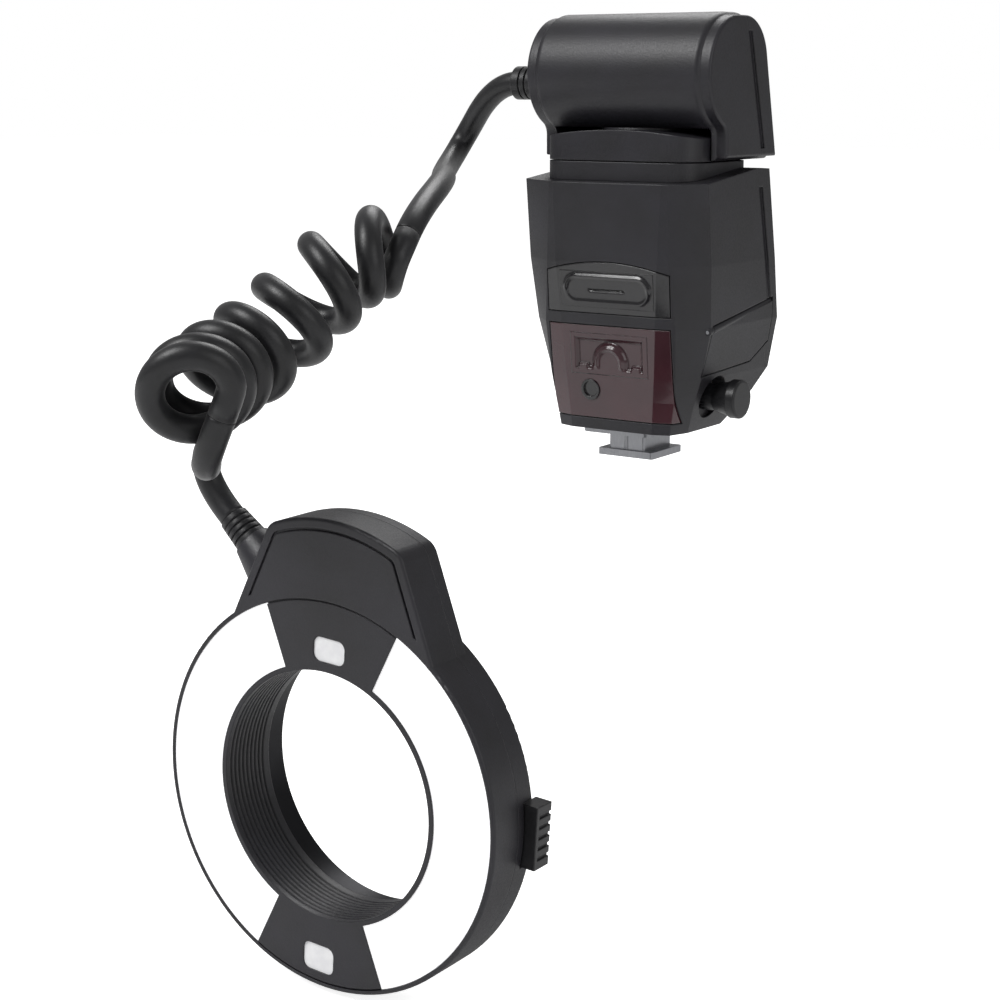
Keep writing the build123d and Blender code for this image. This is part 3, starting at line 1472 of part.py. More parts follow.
def coil_point(turn):
    """Point of the curls: it winds round the loop's axis, level at the near side at whole turns."""
    x, y, z, heading, rise, radius = coil_row(turn)
    axis = Vector(sin(radians(heading)) * cos(radians(rise)), cos(radians(heading)) * cos(radians(rise)),
                  sin(radians(rise)))
    upward = (Vector(0, 0, 1) - axis * axis.Z).normalized()
    across = axis.cross(upward)
    angle = 2 * pi * turn
    return Vector(x, y, z) + (across * cos(angle) + upward * sin(angle)) * radius


def coil_way(turn):
    """Direction of the curls at a turn."""
    step = 1 / 1000
    return (coil_point(min(turn + step, coil_turns)) - coil_point(max(turn - step, 0))).normalized()


def biarc(start, start_way, end, end_way):
    """Two tangent arcs from one point and direction to another."""
    chord = end - start
    both = start_way + end_way
    denominator = 2 * (1 - start_way.dot(end_way))
    along = chord.dot(both)
    reach = (sqrt(along ** 2 + denominator * chord.dot(chord)) - along) / denominator
    joint = (start + end + (start_way - end_way) * reach) / 2
    first = TangentArc(start, joint, tangent=start_way)
    TangentArc(joint, end, tangent=first % 1)


def round_tube(path):
    """Solid round tube along a path."""
    with BuildPart() as tube:
        with BuildSketch(Plane(origin=path @ 0, z_dir=path % 0)):
            Circle(cord_radius)
        sweep(path=path)
    expected = pi * cord_radius ** 2 * path.length
    print(f"tube {tube.part.volume:.0f} mm3, section times length {expected:.0f} mm3, {path.length:.1f} mm long")
    return tube


def corner_radii(points):
    """Radius for each corner of a route, as large as its two runs allow."""
    found = []
    for before, at, after in zip(points, points[1:], points[2:]):
        turn = radians((at - before).get_angle(after - at))
        shorter = min((at - before).length, (after - at).length)
        found.append(fillet_share * shorter / tan(turn / 2))
    return found


coil_ways = [coil_way(step / 4) for step in range(4 * coil_turns)] + [Vector(*coil_out).normalized()]
coil_ways[0] = Vector(*coil_in).normalized()
with BuildLine() as coil_line:
    lead = coil_point(0) - coil_ways[0] * 2 * cord_radius
    Line(lead, coil_point(0))
    for step in range(4 * coil_turns):
        biarc(coil_point(step / 4), coil_ways[step], coil_point((step + 1) / 4), coil_ways[step + 1])
    tail = coil_point(coil_turns) + coil_ways[-1] * 2 * cord_radius
    Line(coil_point(coil_turns), tail)
cord_coil = round_tube(coil_line.wire())
save(cord_coil, "cord_coil")

samples = [coil_point(step / 48) for step in range(48 * coil_turns + 1)]
self_gap = min((samples[i] - samples[j]).length for i in range(len(samples))
               for j in range(i + 24, len(samples))) - 2 * cord_radius
print(f"least gap of the curls {self_gap:.2f} mm, over {least_gap}")

boot_end = ring_point(*boot_tip, boss_depth)
for label, points in (
    ("cord_lower", [boot_end, boot_end + boss_out.normalized() * boot_run,
                    *[Vector(*p) for p in lower_route], lead - coil_ways[0] * lower_run, lead]),
    ("cord_upper", [tail, tail + coil_ways[-1] * upper_run, *[Vector(*p) for p in upper_route]]),
):
    radii = corner_radii(points)
    print(label, "radii", [round(radius, 1) for radius in radii])
    with BuildLine() as route:
        FilletPolyline(*points, radius=radii)
    save(round_tube(route.wire()), label)
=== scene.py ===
"""Looks of a macro ring flash: a shoe-mounted control unit with a turning head, a curly cord
and a ring head on its lens adapter. Laid out as a Blender add-on and run as a script."""

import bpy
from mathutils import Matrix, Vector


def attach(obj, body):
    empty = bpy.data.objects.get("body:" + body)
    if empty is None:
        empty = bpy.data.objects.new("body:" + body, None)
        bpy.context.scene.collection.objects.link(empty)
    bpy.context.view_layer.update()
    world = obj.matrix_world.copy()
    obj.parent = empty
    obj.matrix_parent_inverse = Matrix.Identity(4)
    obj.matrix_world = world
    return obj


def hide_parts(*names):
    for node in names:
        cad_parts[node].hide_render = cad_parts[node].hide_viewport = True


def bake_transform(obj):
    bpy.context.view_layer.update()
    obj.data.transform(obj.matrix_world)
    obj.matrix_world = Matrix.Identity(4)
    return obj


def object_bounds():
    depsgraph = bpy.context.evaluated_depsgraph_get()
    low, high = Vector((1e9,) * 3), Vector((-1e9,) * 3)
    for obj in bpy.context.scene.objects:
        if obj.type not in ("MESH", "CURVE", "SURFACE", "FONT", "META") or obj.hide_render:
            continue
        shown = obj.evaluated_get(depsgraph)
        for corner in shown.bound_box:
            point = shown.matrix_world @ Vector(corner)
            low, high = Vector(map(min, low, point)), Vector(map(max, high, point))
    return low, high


bl_info = {
    "name": "Macro ring flash",
    "version": (1, 0, 0),
    "blender": (4, 5, 0),
    "location": "View3D > Sidebar > Ring Flash",
    "description": "Gives the packed ring flash its finishes, its curly cord and its stage",
    "category": "Object",
}

from math import cos, pi, radians, sin

import bmesh
import bpy
import numpy as np
from bpy.props import FloatProperty, FloatVectorProperty, PointerProperty
from mathutils import Vector

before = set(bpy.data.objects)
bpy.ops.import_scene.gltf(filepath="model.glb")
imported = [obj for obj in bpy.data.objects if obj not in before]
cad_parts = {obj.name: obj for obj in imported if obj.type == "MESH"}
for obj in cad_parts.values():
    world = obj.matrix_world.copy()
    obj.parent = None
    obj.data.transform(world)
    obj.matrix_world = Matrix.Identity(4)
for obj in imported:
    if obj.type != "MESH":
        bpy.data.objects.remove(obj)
cad_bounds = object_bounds()

MM = 0.001
EDGE_SAMPLES = 6

# Camera at the photograph's place
CAMERA_PLACE = (0.29851, -0.51107, 0.10859)
CAMERA_YAW = radians(34.358)
CAMERA_DOWN = radians(11.787)
SENSOR_WIDTH = 36.0
LENS = 72.0

# Route of the cord, with the same values as the part's source, in millimetres. They were fitted to the
# photograph by a separate program, and then rounded. A row of the coil is one whole turn: its centre's x,
# y and z, its axis's heading and rise in degrees, and its radius.
CORD_DIAMETER = 6.8
COIL_ROWS = np.array((
    (-8.9, -183.4, 40.8, -43.6, 22.5, 8.7),
    (-13.7, -177.3, 40.0, -46.6, 22.8, 10.6),
    (-16.4, -167.3, 42.0, -28.6, 24.1, 10.1),
    (-16.7, -155.7, 45.9, -1.0, 35.5, 10.0),
    (-15.3, -142.8, 52.3, 15.9, 51.5, 10.0),
    (-15.4, -129.3, 59.7, 23.3, 39.7, 9.8),
    (-14.5, -113.4, 65.9, 43.2, 14.0, 9.0),
    (-14.4, -97.8, 65.9, 60.0, -16.6, 8.6),
))
COIL_IN = (0.394, 0.102, 0.913)
COIL_OUT = (-0.1, 0.7, 0.7)
COIL_STEPS = 24
UPPER_ROUTE = (
    (-28.0, -59.9, 83.1),
    (-55.1, -24.6, 81.5),
    (-66.2, 0.3, 89.2),
    (-47.2, -8.0, 108.5),
    (-38.6, -8.0, 108.5),
)
LOWER_ROUTE = (
    (-38.1, -143.5, 25.1),
    (-27.1, -159.5, 22.5),
    (-17.5, -170.3, 20.1),
)
UPPER_RUN = 7.0
BOOT_RUN = 15.6
LOWER_RUN = 11.4

# Points that the drawn cord has between two control points, and round it
ROUTE_STEPS = {"cord_lower": 24, "cord_coil": 3, "cord_upper": 32}
CORD_AROUND = 36

# The window's field and the cover's grip, in millimetres. A face is the y and z of a point on it, and how
# far it leans forward for each unit up.
WINDOW_FACE = (-18.84, 32.88, 0.0934)
COVER_FACE = (-20.54, 50.97, 0.0944)
FIELD_HALF = 11.6
FIELD_LOW = 26.6
FIELD_HIGH = 36.4
FIELD_DEPTH = 0.92
FIELD_EDGE = 1.4
FIELD_SHEET = (13.0, 25.3, 37.6)
TONGUE_HALF = 4.9
TONGUE_Z = 29.0
TONGUE_EDGE = 1.3
LIP_HEIGHT = 0.55
LIP_INSET = 0.8
LIP_WIDTH = 0.65
LIP_FADE = 1.5
LEDGE_X = 8.9
LEDGE_HALF = 1.9
LEDGE_HEIGHT = 2.2
LEDGE_EDGE = 0.9
GRIP_HALF = 14.4
GRIP_LOW = 46.0
GRIP_HIGH = 54.6
GRIP_SHEET = (15.6, 45.0, 55.6)
GRIP_LIP_FOOT = 0.2
GRIP_LIP_GAIN = 0.4
GRIP_LIP_INSET = 0.6
GRIP_LIP_WIDTH = 0.65
GRIP_LIP_FADE = 3.0
SLIT_HALF = 6.5
SLIT_Z = 50.2
SLIT_DEPTH = 0.5
SLIT_WIDTH = 0.45
SLIT_FADE = 1.5
RELIEF_OVER = 0.05
RELIEF_STEP = 0.14
RELIEF_THICKNESS = 0.04 * MM

# The back's buttons carry raised print
BACK_LEAN = 0.2
MARK_RISE = 0.06 * MM
MARK_SINK = 0.03 * MM
FACE_BAND = 0.05 * MM
SIGN_STROKE = 0.16
SIGN_ARM = 0.85
BOLT = np.array(((0.35, 1.2), (-0.75, -0.15), (-0.1, -0.15), (-0.35, -1.2), (0.75, 0.2), (0.1, 0.2)))

# The stage, in metres, with each light's place, size and setting
STAGE_CENTRE = (0.0, -0.07, 0.0)
LIGHTS = (
    ("key_light", (-0.55, -1.0, 1.15), 0.7, "key_power"),
    ("fill_light", (1.2, -0.35, 0.55), 0.9, "fill_power"),
    ("rim_light", (-0.4, 1.0, 1.1), 0.8, "rim_power"),
)
SKY_LIGHT = 0.28
FLOOR_GLOW = 0.9
FLOOR_HALF = 6.0

# The ring's place in millimetres: its axis lies along Y, and it is rolled a little
RING_ROLL = radians(3.7)
RING_FRONT_Y = -151.1
RING_CENTRE_Z = -62.9
BOOT_TIP = (-38.2, 62.0)
BOOT_DEPTH = 8.0
BOSS_OUT = (-0.8, 0.6)


# Small tools

def linear(colour, alpha=1.0):
    """A linear colour from an sRGB hex value."""
    shares = [int(colour[i:i + 2], 16) / 255 for i in (1, 3, 5)]
    return (*[s / 12.92 if s <= 0.04045 else ((s + 0.055) / 1.055) ** 2.4 for s in shares], alpha)


def add_node(tree, kind, inputs=None, **settings):
    """Adds one node. Settings are its properties; inputs are values or outputs, by socket name or number."""
    made = tree.nodes.new(kind)
    for name, value in settings.items():
        setattr(made, name, value)
    for name, value in (inputs or {}).items():
        if isinstance(value, bpy.types.NodeSocket):
            tree.links.new(value, made.inputs[name])
        else:
            made.inputs[name].default_value = value
    return made


def colour_steps(tree, share, stops):
    """A colour ramp from (place, colour) pairs."""
    ramp = add_node(tree, "ShaderNodeValToRGB", {"Fac": share})
    elements = ramp.color_ramp.elements
    while len(elements) < len(stops):
        elements.new(0.5)
    for element, (place, colour) in zip(elements, stops):
        element.position = place
        element.color = colour
    return ramp.outputs["Color"]


def new_material(name):
    """An empty material with a Principled surface; returns material, tree and shader."""
    material = bpy.data.materials.new(name)
    material.use_nodes = True
    tree = material.node_tree
    tree.nodes.clear()
    shader = add_node(tree, "ShaderNodeBsdfPrincipled")
    add_node(tree, "ShaderNodeOutputMaterial", {"Surface": shader.outputs["BSDF"]})
    return material, tree, shader


def grain(tree, size, detail=3.0, roughness=0.55):
    """Noise on the piece's own coordinates whose lumps are size metres across."""
    place = add_node(tree, "ShaderNodeTexCoord").outputs["Object"]
    return add_node(tree, "ShaderNodeTexNoise", {
        "Vector": place, "Scale": 1 / size, "Detail": detail, "Roughness": roughness})


def textured(name, dark, pale, grain_mm, rough=(0.4, 0.5), bump=0.1, cloud_mm=18.0, edge_mm=0.5, **values):
    """A material whose colour drifts over clouds, with a fine grain in its roughness and its relief, and
    with edges softened over edge_mm so that they catch the light as moulded ones do."""
    material, tree, shader = new_material(name)
    clouds = grain(tree, cloud_mm * MM, 2.0).outputs["Fac"]
    fine = grain(tree, grain_mm * MM, 4.0).outputs["Fac"]
    tree.links.new(colour_steps(tree, clouds, ((0.35, dark), (0.65, pale))), shader.inputs["Base Color"])
    spread = add_node(tree, "ShaderNodeMapRange", {
        "Value": fine, "From Min": 0.3, "From Max": 0.7, "To Min": rough[0], "To Max": rough[1]})
    tree.links.new(spread.outputs["Result"], shader.inputs["Roughness"])
    edge = add_node(tree, "ShaderNodeBevel", {"Radius": edge_mm * MM}, samples=EDGE_SAMPLES)
    relief = add_node(tree, "ShaderNodeBump", {
        "Height": fine, "Strength": bump, "Distance": grain_mm * MM, "Normal": edge.outputs["Normal"]})
    tree.links.new(relief.outputs["Normal"], shader.inputs["Normal"])
    for key, value in values.items():
        shader.inputs[key.replace("_", " ")].default_value = value
    return material


def dress(material, *nodes):
    """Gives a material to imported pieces, and leaves their meshes alone."""
    for name in nodes:
        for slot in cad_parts[name].material_slots:
            slot.link = "OBJECT"
            slot.material = material


def surface_mesh(name, grid, closed_u=True, caps=False):
    """A mesh over a grid of points [stations, around, 3]: each cell is one face, and the first and last
    rows close with one face each where caps is set. It carries a UV map of turns and metres along."""
    stations, around = grid.shape[:2]
    rows = np.arange(stations - 1)[:, None] * around
    columns = np.arange(around if closed_u else around - 1)[None, :]
    after = (columns + 1) % around
    faces = np.stack((rows + columns, rows + after, rows + around + after, rows + around + columns), axis=-1)
    faces = [tuple(face) for face in faces.reshape(-1, 4).tolist()]
    if caps:
        faces.append(tuple(range(around - 1, -1, -1)))
        faces.append(tuple(range((stations - 1) * around, stations * around)))
    mesh = bpy.data.meshes.new(name)
    mesh.from_pydata(grid.reshape(-1, 3).tolist(), [], faces)
    run = np.concatenate(([0.0], np.cumsum(np.linalg.norm(np.diff(grid.mean(axis=1), axis=0), axis=1))))
    turns = np.repeat(np.arange(around)[None, :] / around, stations, axis=0)
    both = np.stack((turns, np.repeat(run[:, None], around, axis=1)), axis=-1).reshape(-1, 2)
    corners = np.empty(len(mesh.loops), dtype=np.int32)
    mesh.loops.foreach_get("vertex_index", corners)
    mesh.uv_layers.new(name="run").data.foreach_set("uv", both[corners].astype(np.float32).ravel())
    smooth = np.ones(len(mesh.polygons), dtype=bool)
    if caps:
        smooth[-2:] = False
    mesh.polygons.foreach_set("use_smooth", smooth)
    mesh.update()
    return mesh


def put(name, mesh, material):
    """A new piece at the origin with its material."""
    mesh.materials.append(material)
    piece = bpy.data.objects.new(name, mesh)
    bpy.context.scene.collection.objects.link(piece)
    return piece


# The cord

def coil_row(turn):
    """The coil's centre, heading, rise and radius at any turn: a cubic through the rows of whole turns,
    h00 a + h10 s + h01 b + h11 t, with slopes from the neighbouring rows."""
    last = len(COIL_ROWS) - 1
    index = np.minimum(turn.astype(int), last - 1)
    share = (turn - index)[:, None]
    before, at, after, beyond = [COIL_ROWS[np.clip(index + step, 0, last)] for step in (-1, 0, 1, 2)]
    low = (after - before) / np.where(index == 0, 1, 2)[:, None]
    high = (beyond - at) / np.where(index == last - 1, 1, 2)[:, None]
    square, cube = share ** 2, share ** 3
    return ((2 * cube - 3 * square + 1) * at + (cube - 2 * square + share) * low
            + (3 * square - 2 * cube) * after + (cube - square) * high)


def coil_points(turn):
    """Points of the curls: centre + radius (across cos a + upward sin a), a = 2 pi turn, where the loop's
    axis points along heading and rise, upward is Z made square to it and across is square to both."""
    row = coil_row(turn)
    heading, rise = np.radians(row[:, 3]), np.radians(row[:, 4])
    axis = np.stack((np.sin(heading) * np.cos(rise), np.cos(heading) * np.cos(rise), np.sin(rise)), axis=1)
    upward = np.array((0.0, 0.0, 1.0)) - axis * axis[:, 2:]
    upward /= np.linalg.norm(upward, axis=1)[:, None]
    across = np.cross(axis, upward)
    angle = (2 * pi * turn)[:, None]
    return row[:, :3] + row[:, 5:] * (across * np.cos(angle) + upward * np.sin(angle))


def ring_point(x, y, depth):
    """A point of the ring head in millimetres: x and y across its rolled face, depth behind its front."""
    return np.array((x * cos(RING_ROLL) + y * sin(RING_ROLL), RING_FRONT_Y + depth,
                     RING_CENTRE_Z - x * sin(RING_ROLL) + y * cos(RING_ROLL)))


def cord_routes():
    """Control points of the three stretches, in millimetres: boot to curls, the curls, curls to head."""
    turns = len(COIL_ROWS) - 1
    way = np.array(COIL_IN) / np.linalg.norm(COIL_IN)
    out = np.array(COIL_OUT) / np.linalg.norm(COIL_OUT)
    curls = coil_points(np.linspace(0, turns, COIL_STEPS * turns + 1))
    lead = curls[0] - way * CORD_DIAMETER
    tail = curls[-1] + out * CORD_DIAMETER
    boot = ring_point(*BOOT_TIP, BOOT_DEPTH)
    boot_way = ring_point(*BOSS_OUT, 0) - ring_point(0, 0, 0)
    lower = np.array((boot, boot + boot_way * BOOT_RUN, *LOWER_ROUTE, lead - way * LOWER_RUN, lead))
    upper = np.array((tail, tail + out * UPPER_RUN, *UPPER_ROUTE))
    return lower, np.vstack((lead, curls, tail)), upper


def spline_line(points, resolution):
    """Points along the smooth spline that has these control points, in metres."""
    data = bpy.data.curves.new("route", "CURVE")
    data.dimensions = "3D"
    data.resolution_u = resolution
    spline = data.splines.new("NURBS")
    spline.points.add(len(points) - 1)
    spline.points.foreach_set("co", np.column_stack((points * MM, np.ones(len(points)))).ravel())
    spline.order_u = 3
    spline.use_endpoint_u = True
    holder = bpy.data.objects.new("route", data)
    mesh = bpy.data.meshes.new_from_object(holder)
    line = np.empty(len(mesh.vertices) * 3)
    mesh.vertices.foreach_get("co", line)
    bpy.data.objects.remove(holder)
    bpy.data.curves.remove(data)
    bpy.data.meshes.remove(mesh)
    return line.reshape(-1, 3)


def carried_frames(line):
    """Two directions square to the line at each station, turned as little as they can be along it."""
    ways = np.gradient(line, axis=0)
    ways /= np.linalg.norm(ways, axis=1)[:, None]
    side = np.cross(ways[0], (0.0, 0.0, 1.0))
    sides = [side / np.linalg.norm(side)]
    for way in ways[1:]:
        side = sides[-1] - way * (sides[-1] @ way)
        sides.append(side / np.linalg.norm(side))
    sides = np.array(sides)
    return sides, np.cross(ways, sides)


def tube_mesh(name, line, radius, around):
    """A round tube: line point + radius (side cos a + other sin a), closed at both ends."""
    sides, others = carried_frames(line)
    angle = np.linspace(0, 2 * pi, around, endpoint=False)
    ring = sides[:, None] * np.cos(angle)[None, :, None] + others[:, None] * np.sin(angle)[None, :, None]
    return surface_mesh(name, line[:, None] + radius * ring, caps=True)


# Moulded relief on the front panel

def soft_step(value):
    """Smooth step from 0 to 1: 3 v^2 - 2 v^3 for v held between 0 and 1."""
    held = np.clip(value, 0.0, 1.0)
    return held * held * (3 - 2 * held)


def relief_mesh(name, half, low, high, face, height):
    """A sheet on a leaning face: y = face y - lean (z - face z) - height(x, z), all in millimetres. The
    height is 0 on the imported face, and below 0 where the sheet follows a hollow in it."""
    face_y, face_z, lean = face
    x, z = np.meshgrid(np.linspace(-half, half, int(2 * half / RELIEF_STEP)),
                       np.linspace(low, high, int((high - low) / RELIEF_STEP)))
    y = face_y - lean * (z - face_z) - height(x, z)
    return surface_mesh(name, np.stack((x, y, z), axis=-1) * MM, closed_u=False)


def window_height(x, z):
    """The window's field: a soft-edged hollow, an arched tongue with a raised lip in it, and two ledges at
    its foot."""
    inside = np.minimum(np.minimum(FIELD_HALF - np.abs(x), FIELD_HIGH - z), z - FIELD_LOW)
    hollow = RELIEF_OVER - (FIELD_DEPTH + RELIEF_OVER) * soft_step(inside / FIELD_EDGE)
    reach = np.where(z < TONGUE_Z, TONGUE_HALF - np.abs(x), TONGUE_HALF - np.hypot(x, z - TONGUE_Z))
    tongue = soft_step((reach + TONGUE_EDGE) / TONGUE_EDGE)
    lip = LIP_HEIGHT * np.exp(-((reach - LIP_INSET) / LIP_WIDTH) ** 2) * soft_step((z - FIELD_LOW) / LIP_FADE)
    ledge = (soft_step((LEDGE_HALF - np.abs(np.abs(x) - LEDGE_X)) / LEDGE_EDGE)
             * soft_step((FIELD_LOW + LEDGE_HEIGHT - z) / LEDGE_EDGE))
    return hollow * (1 - tongue) * (1 - ledge) + RELIEF_OVER * (tongue + ledge * (1 - tongue)) + lip


def grip_height(x, z):
    """The cover's grip: a raised lip round a bar with round ends, strongest over its top, and a slit."""
    middle = (GRIP_LOW + GRIP_HIGH) / 2
    round_end = (GRIP_HIGH - GRIP_LOW) / 2
    beyond = np.maximum(np.abs(x) - (GRIP_HALF - round_end), 0.0)
    off = np.hypot(beyond, z - middle) - round_end
    strength = GRIP_LIP_FOOT + GRIP_LIP_GAIN * soft_step((z - middle + GRIP_LIP_FADE / 2) / GRIP_LIP_FADE)
    lip = strength * np.exp(-((off + GRIP_LIP_INSET) / GRIP_LIP_WIDTH) ** 2)
    slit = (SLIT_DEPTH * np.exp(-((z - SLIT_Z) / SLIT_WIDTH) ** 2)
            * soft_step((SLIT_HALF - np.abs(x)) / SLIT_FADE))
    return RELIEF_OVER + lip - slit * (off < 0)


# Printed marks

def stadium(half, radius, centre=(0.0, 0.0), turn=0.0, count=28):
    """Outline of a bar with round ends: radius (cos a, sin a) moved half along its length by the sign of
    cos a, then turned and moved to its centre."""
    angle = (np.arange(count) + 0.5) * 2 * pi / count
    bar = np.stack((radius * np.cos(angle) + half * np.sign(np.cos(angle)), radius * np.sin(angle)), axis=1)
    turned = bar @ np.array(((cos(turn), sin(turn)), (-sin(turn), cos(turn))))
    return turned + np.array(centre)


def button_face(node):
    """Middle of a button's front face, and the directions across, up and out of the sloping back."""
    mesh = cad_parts[node].data
    points = np.empty(len(mesh.vertices) * 3)
    mesh.vertices.foreach_get("co", points)
    points = points.reshape(-1, 3)
    out = np.array((0.0, 1.0, BACK_LEAN)) / np.hypot(1.0, BACK_LEAN)
    reach = points @ out
    face = points[reach > reach.max() - FACE_BAND]
    across = np.array((-1.0, 0.0, 0.0))
    return (face.min(axis=0) + face.max(axis=0)) / 2, across, np.cross(out, across), out


def button_marks():
    """Outlines of the generic signs on the buttons, in millimetres about each button's middle."""
    rays = [stadium(0.22, 0.11, (1.05 * cos(a), 1.05 * sin(a)), a) for a in np.arange(8) * pi / 4]
    return {
        "button_mode": [BOLT],
        "button_ratio": [stadium(0.0, 0.75, (-1.3, 0.0)), stadium(0.0, 0.4, (1.3, 0.0)),
                         stadium(0.0, 0.14, (0.1, 0.35)), stadium(0.0, 0.14, (0.1, -0.35))],
        "button_lamp": [stadium(0.0, 0.5), *rays],
        "button_minus": [stadium(SIGN_ARM, SIGN_STROKE)],
        "button_set": [stadium(0.0, 0.55)],
        "button_plus": [stadium(SIGN_ARM, SIGN_STROKE), stadium(0.23, SIGN_STROKE, (0.0, 0.6), pi / 2),
                        stadium(0.23, SIGN_STROKE, (0.0, -0.6), pi / 2)],
        "button_test": [BOLT * 0.7],
    }


def mark_mesh(name, outlines, node):
    """Raised print: each outline, in millimetres, drawn twice on the button's face, MARK_RISE apart, with
    its top and its foot closed."""
    middle, across, upward, out = button_face(node)
    made = bmesh.new()
    for outline in outlines:
        flat = (outline[:, :1] * across + outline[:, 1:] * upward) * MM + middle
        part = surface_mesh(name, np.stack((flat - out * MARK_SINK, flat + out * MARK_RISE)), caps=True)
        made.from_mesh(part)
        bpy.data.meshes.remove(part)
    bmesh.ops.recalc_face_normals(made, faces=made.faces)
    mesh = bpy.data.meshes.new(name)
    made.to_mesh(mesh)
    made.free()
    mesh.polygons.foreach_set("use_smooth", np.zeros(len(mesh.polygons), dtype=bool))
    return mesh


# Materials

def moulded_abs(looks):
    """Injection-moulded ABS with a fine spark-eroded texture: the eye sees an even charcoal with soft,
    wide highlights, and a slight sparkle of grain close to them."""
    return textured("moulded_abs_fine_texture", looks.body_dark, looks.body_pale, 0.45,
                    rough=(0.36, 0.5), bump=0.10, IOR=1.53)


def smooth_abs(looks):
    """Injection-moulded ABS from a lightly blasted tool: a shade darker, with tighter highlights on
    small mouldings such as the knob, the power switch and the ring's side buttons."""
    return textured("moulded_abs_satin", looks.trim_dark, looks.trim_pale, 0.3,
                    rough=(0.3, 0.42), bump=0.06, IOR=1.53)


def polished_cover(looks):
    """Polished ABS cover: nearly black, with a glossy coat over it and faint moulding waviness."""
    return textured("polished_abs", looks.cover_dark, looks.cover_pale, 6.0,
                    rough=(0.16, 0.24), bump=0.015, IOR=1.53, Coat_Weight=0.5, Coat_Roughness=0.08)


def red_acrylic(looks):
    """Infrared-passing acrylic: a deep wine red that is nearly opaque, with a polished face."""
    return textured("red_filter_acrylic", looks.window_dark, looks.window_pale, 5.0, cloud_mm=25.0,
                    rough=(0.14, 0.2), bump=0.01, IOR=1.49, Coat_Weight=0.6, Coat_Roughness=0.05)


def cord_jacket(looks):
    """Thermoplastic rubber jacket: soft black with a broad grey sheen and a dusty unevenness."""
    return textured("thermoplastic_rubber", looks.rubber_dark, looks.rubber_pale, 0.5, cloud_mm=9.0,
                    rough=(0.34, 0.46), bump=0.05, IOR=1.5, Sheen_Weight=0.15, Sheen_Roughness=0.4)


def frosted_diffuser(looks):
    """Opal acrylic, frosted and lit from behind: an even white glow with a fine grain in its relief."""
    material, tree, shader = new_material("opal_acrylic")
    fine = grain(tree, 1.2 * MM, 2.0).outputs["Fac"]
    cloud = grain(tree, 30 * MM, 1.0).outputs["Fac"]
    tint = colour_steps(tree, cloud, ((0.3, linear("#eeeef0")), (0.7, linear("#f8f8f8"))))
    relief = add_node(tree, "ShaderNodeBump", {"Height": fine, "Strength": 0.08, "Distance": 0.3 * MM})
    for name, output in (("Base Color", tint), ("Emission Color", tint),
                         ("Normal", relief.outputs["Normal"])):
        tree.links.new(output, shader.inputs[name])
    shader.inputs["Roughness"].default_value = 0.35
    shader.inputs["Emission Strength"].default_value = looks.diffuser_glow
    return material


def lamp_lens(looks):
    """Milky polycarbonate of the modelling lamps: white, a little glossy, with a faint even glow."""
    material, tree, shader = new_material("milky_polycarbonate")
    cloud = grain(tree, 3 * MM, 2.0).outputs["Fac"]
    tint = colour_steps(tree, cloud, ((0.35, linear("#e6e6e8")), (0.65, linear("#eeeeef"))))
    tree.links.new(tint, shader.inputs["Base Color"])
    tree.links.new(tint, shader.inputs["Emission Color"])
    shader.inputs["Emission Strength"].default_value = 0.12
    shader.inputs["Roughness"].default_value = 0.22
    return material


def brushed_metal(name, dark, pale, rough, along=2):
    """Metal with drawn lines: the noise is stretched along one axis, so streaks catch the light."""
    material, tree, shader = new_material(name)
    place = add_node(tree, "ShaderNodeTexCoord").outputs["Object"]
    scale = [7000.0] * 3
    scale[along] = 400.0
    stretched = add_node(tree, "ShaderNodeMapping", {"Vector": place, "Scale": scale})
    lines = add_node(tree, "ShaderNodeTexNoise", {
        "Vector": stretched.outputs["Vector"], "Scale": 1.0, "Detail": 3.0}).outputs["Fac"]
    tree.links.new(colour_steps(tree, lines, ((0.3, dark), (0.7, pale))), shader.inputs["Base Color"])
    spread = add_node(tree, "ShaderNodeMapRange", {"Value": lines, "To Min": rough[0], "To Max": rough[1]})
    relief = add_node(tree, "ShaderNodeBump", {"Height": lines, "Strength": 0.08, "Distance": 0.05 * MM})
    tree.links.new(spread.outputs["Result"], shader.inputs["Roughness"])
    tree.links.new(relief.outputs["Normal"], shader.inputs["Normal"])
    shader.inputs["Metallic"].default_value = 1.0
    return material


def clear_glass(name, tint, rough):
    """Clear glass or acrylic with faint smears in its polish."""
    material, tree, shader = new_material(name)
    smear = grain(tree, 4 * MM, 3.0).outputs["Fac"]
    spread = add_node(tree, "ShaderNodeMapRange", {"Value": smear, "To Min": rough, "To Max": rough * 3})
    tree.links.new(spread.outputs["Result"], shader.inputs["Roughness"])
    shader.inputs["Base Color"].default_value = tint
    shader.inputs["Transmission Weight"].default_value = 1.0
    shader.inputs["IOR"].default_value = 1.49
    return material


# Settings that a user would change

def colour_setting(name, description, colour):
    """A colour that the user can change, given as an sRGB hex value."""
    return FloatVectorProperty(name=name, description=description, default=linear(colour), size=4,
                               min=0.0, max=1.0, subtype="COLOR")


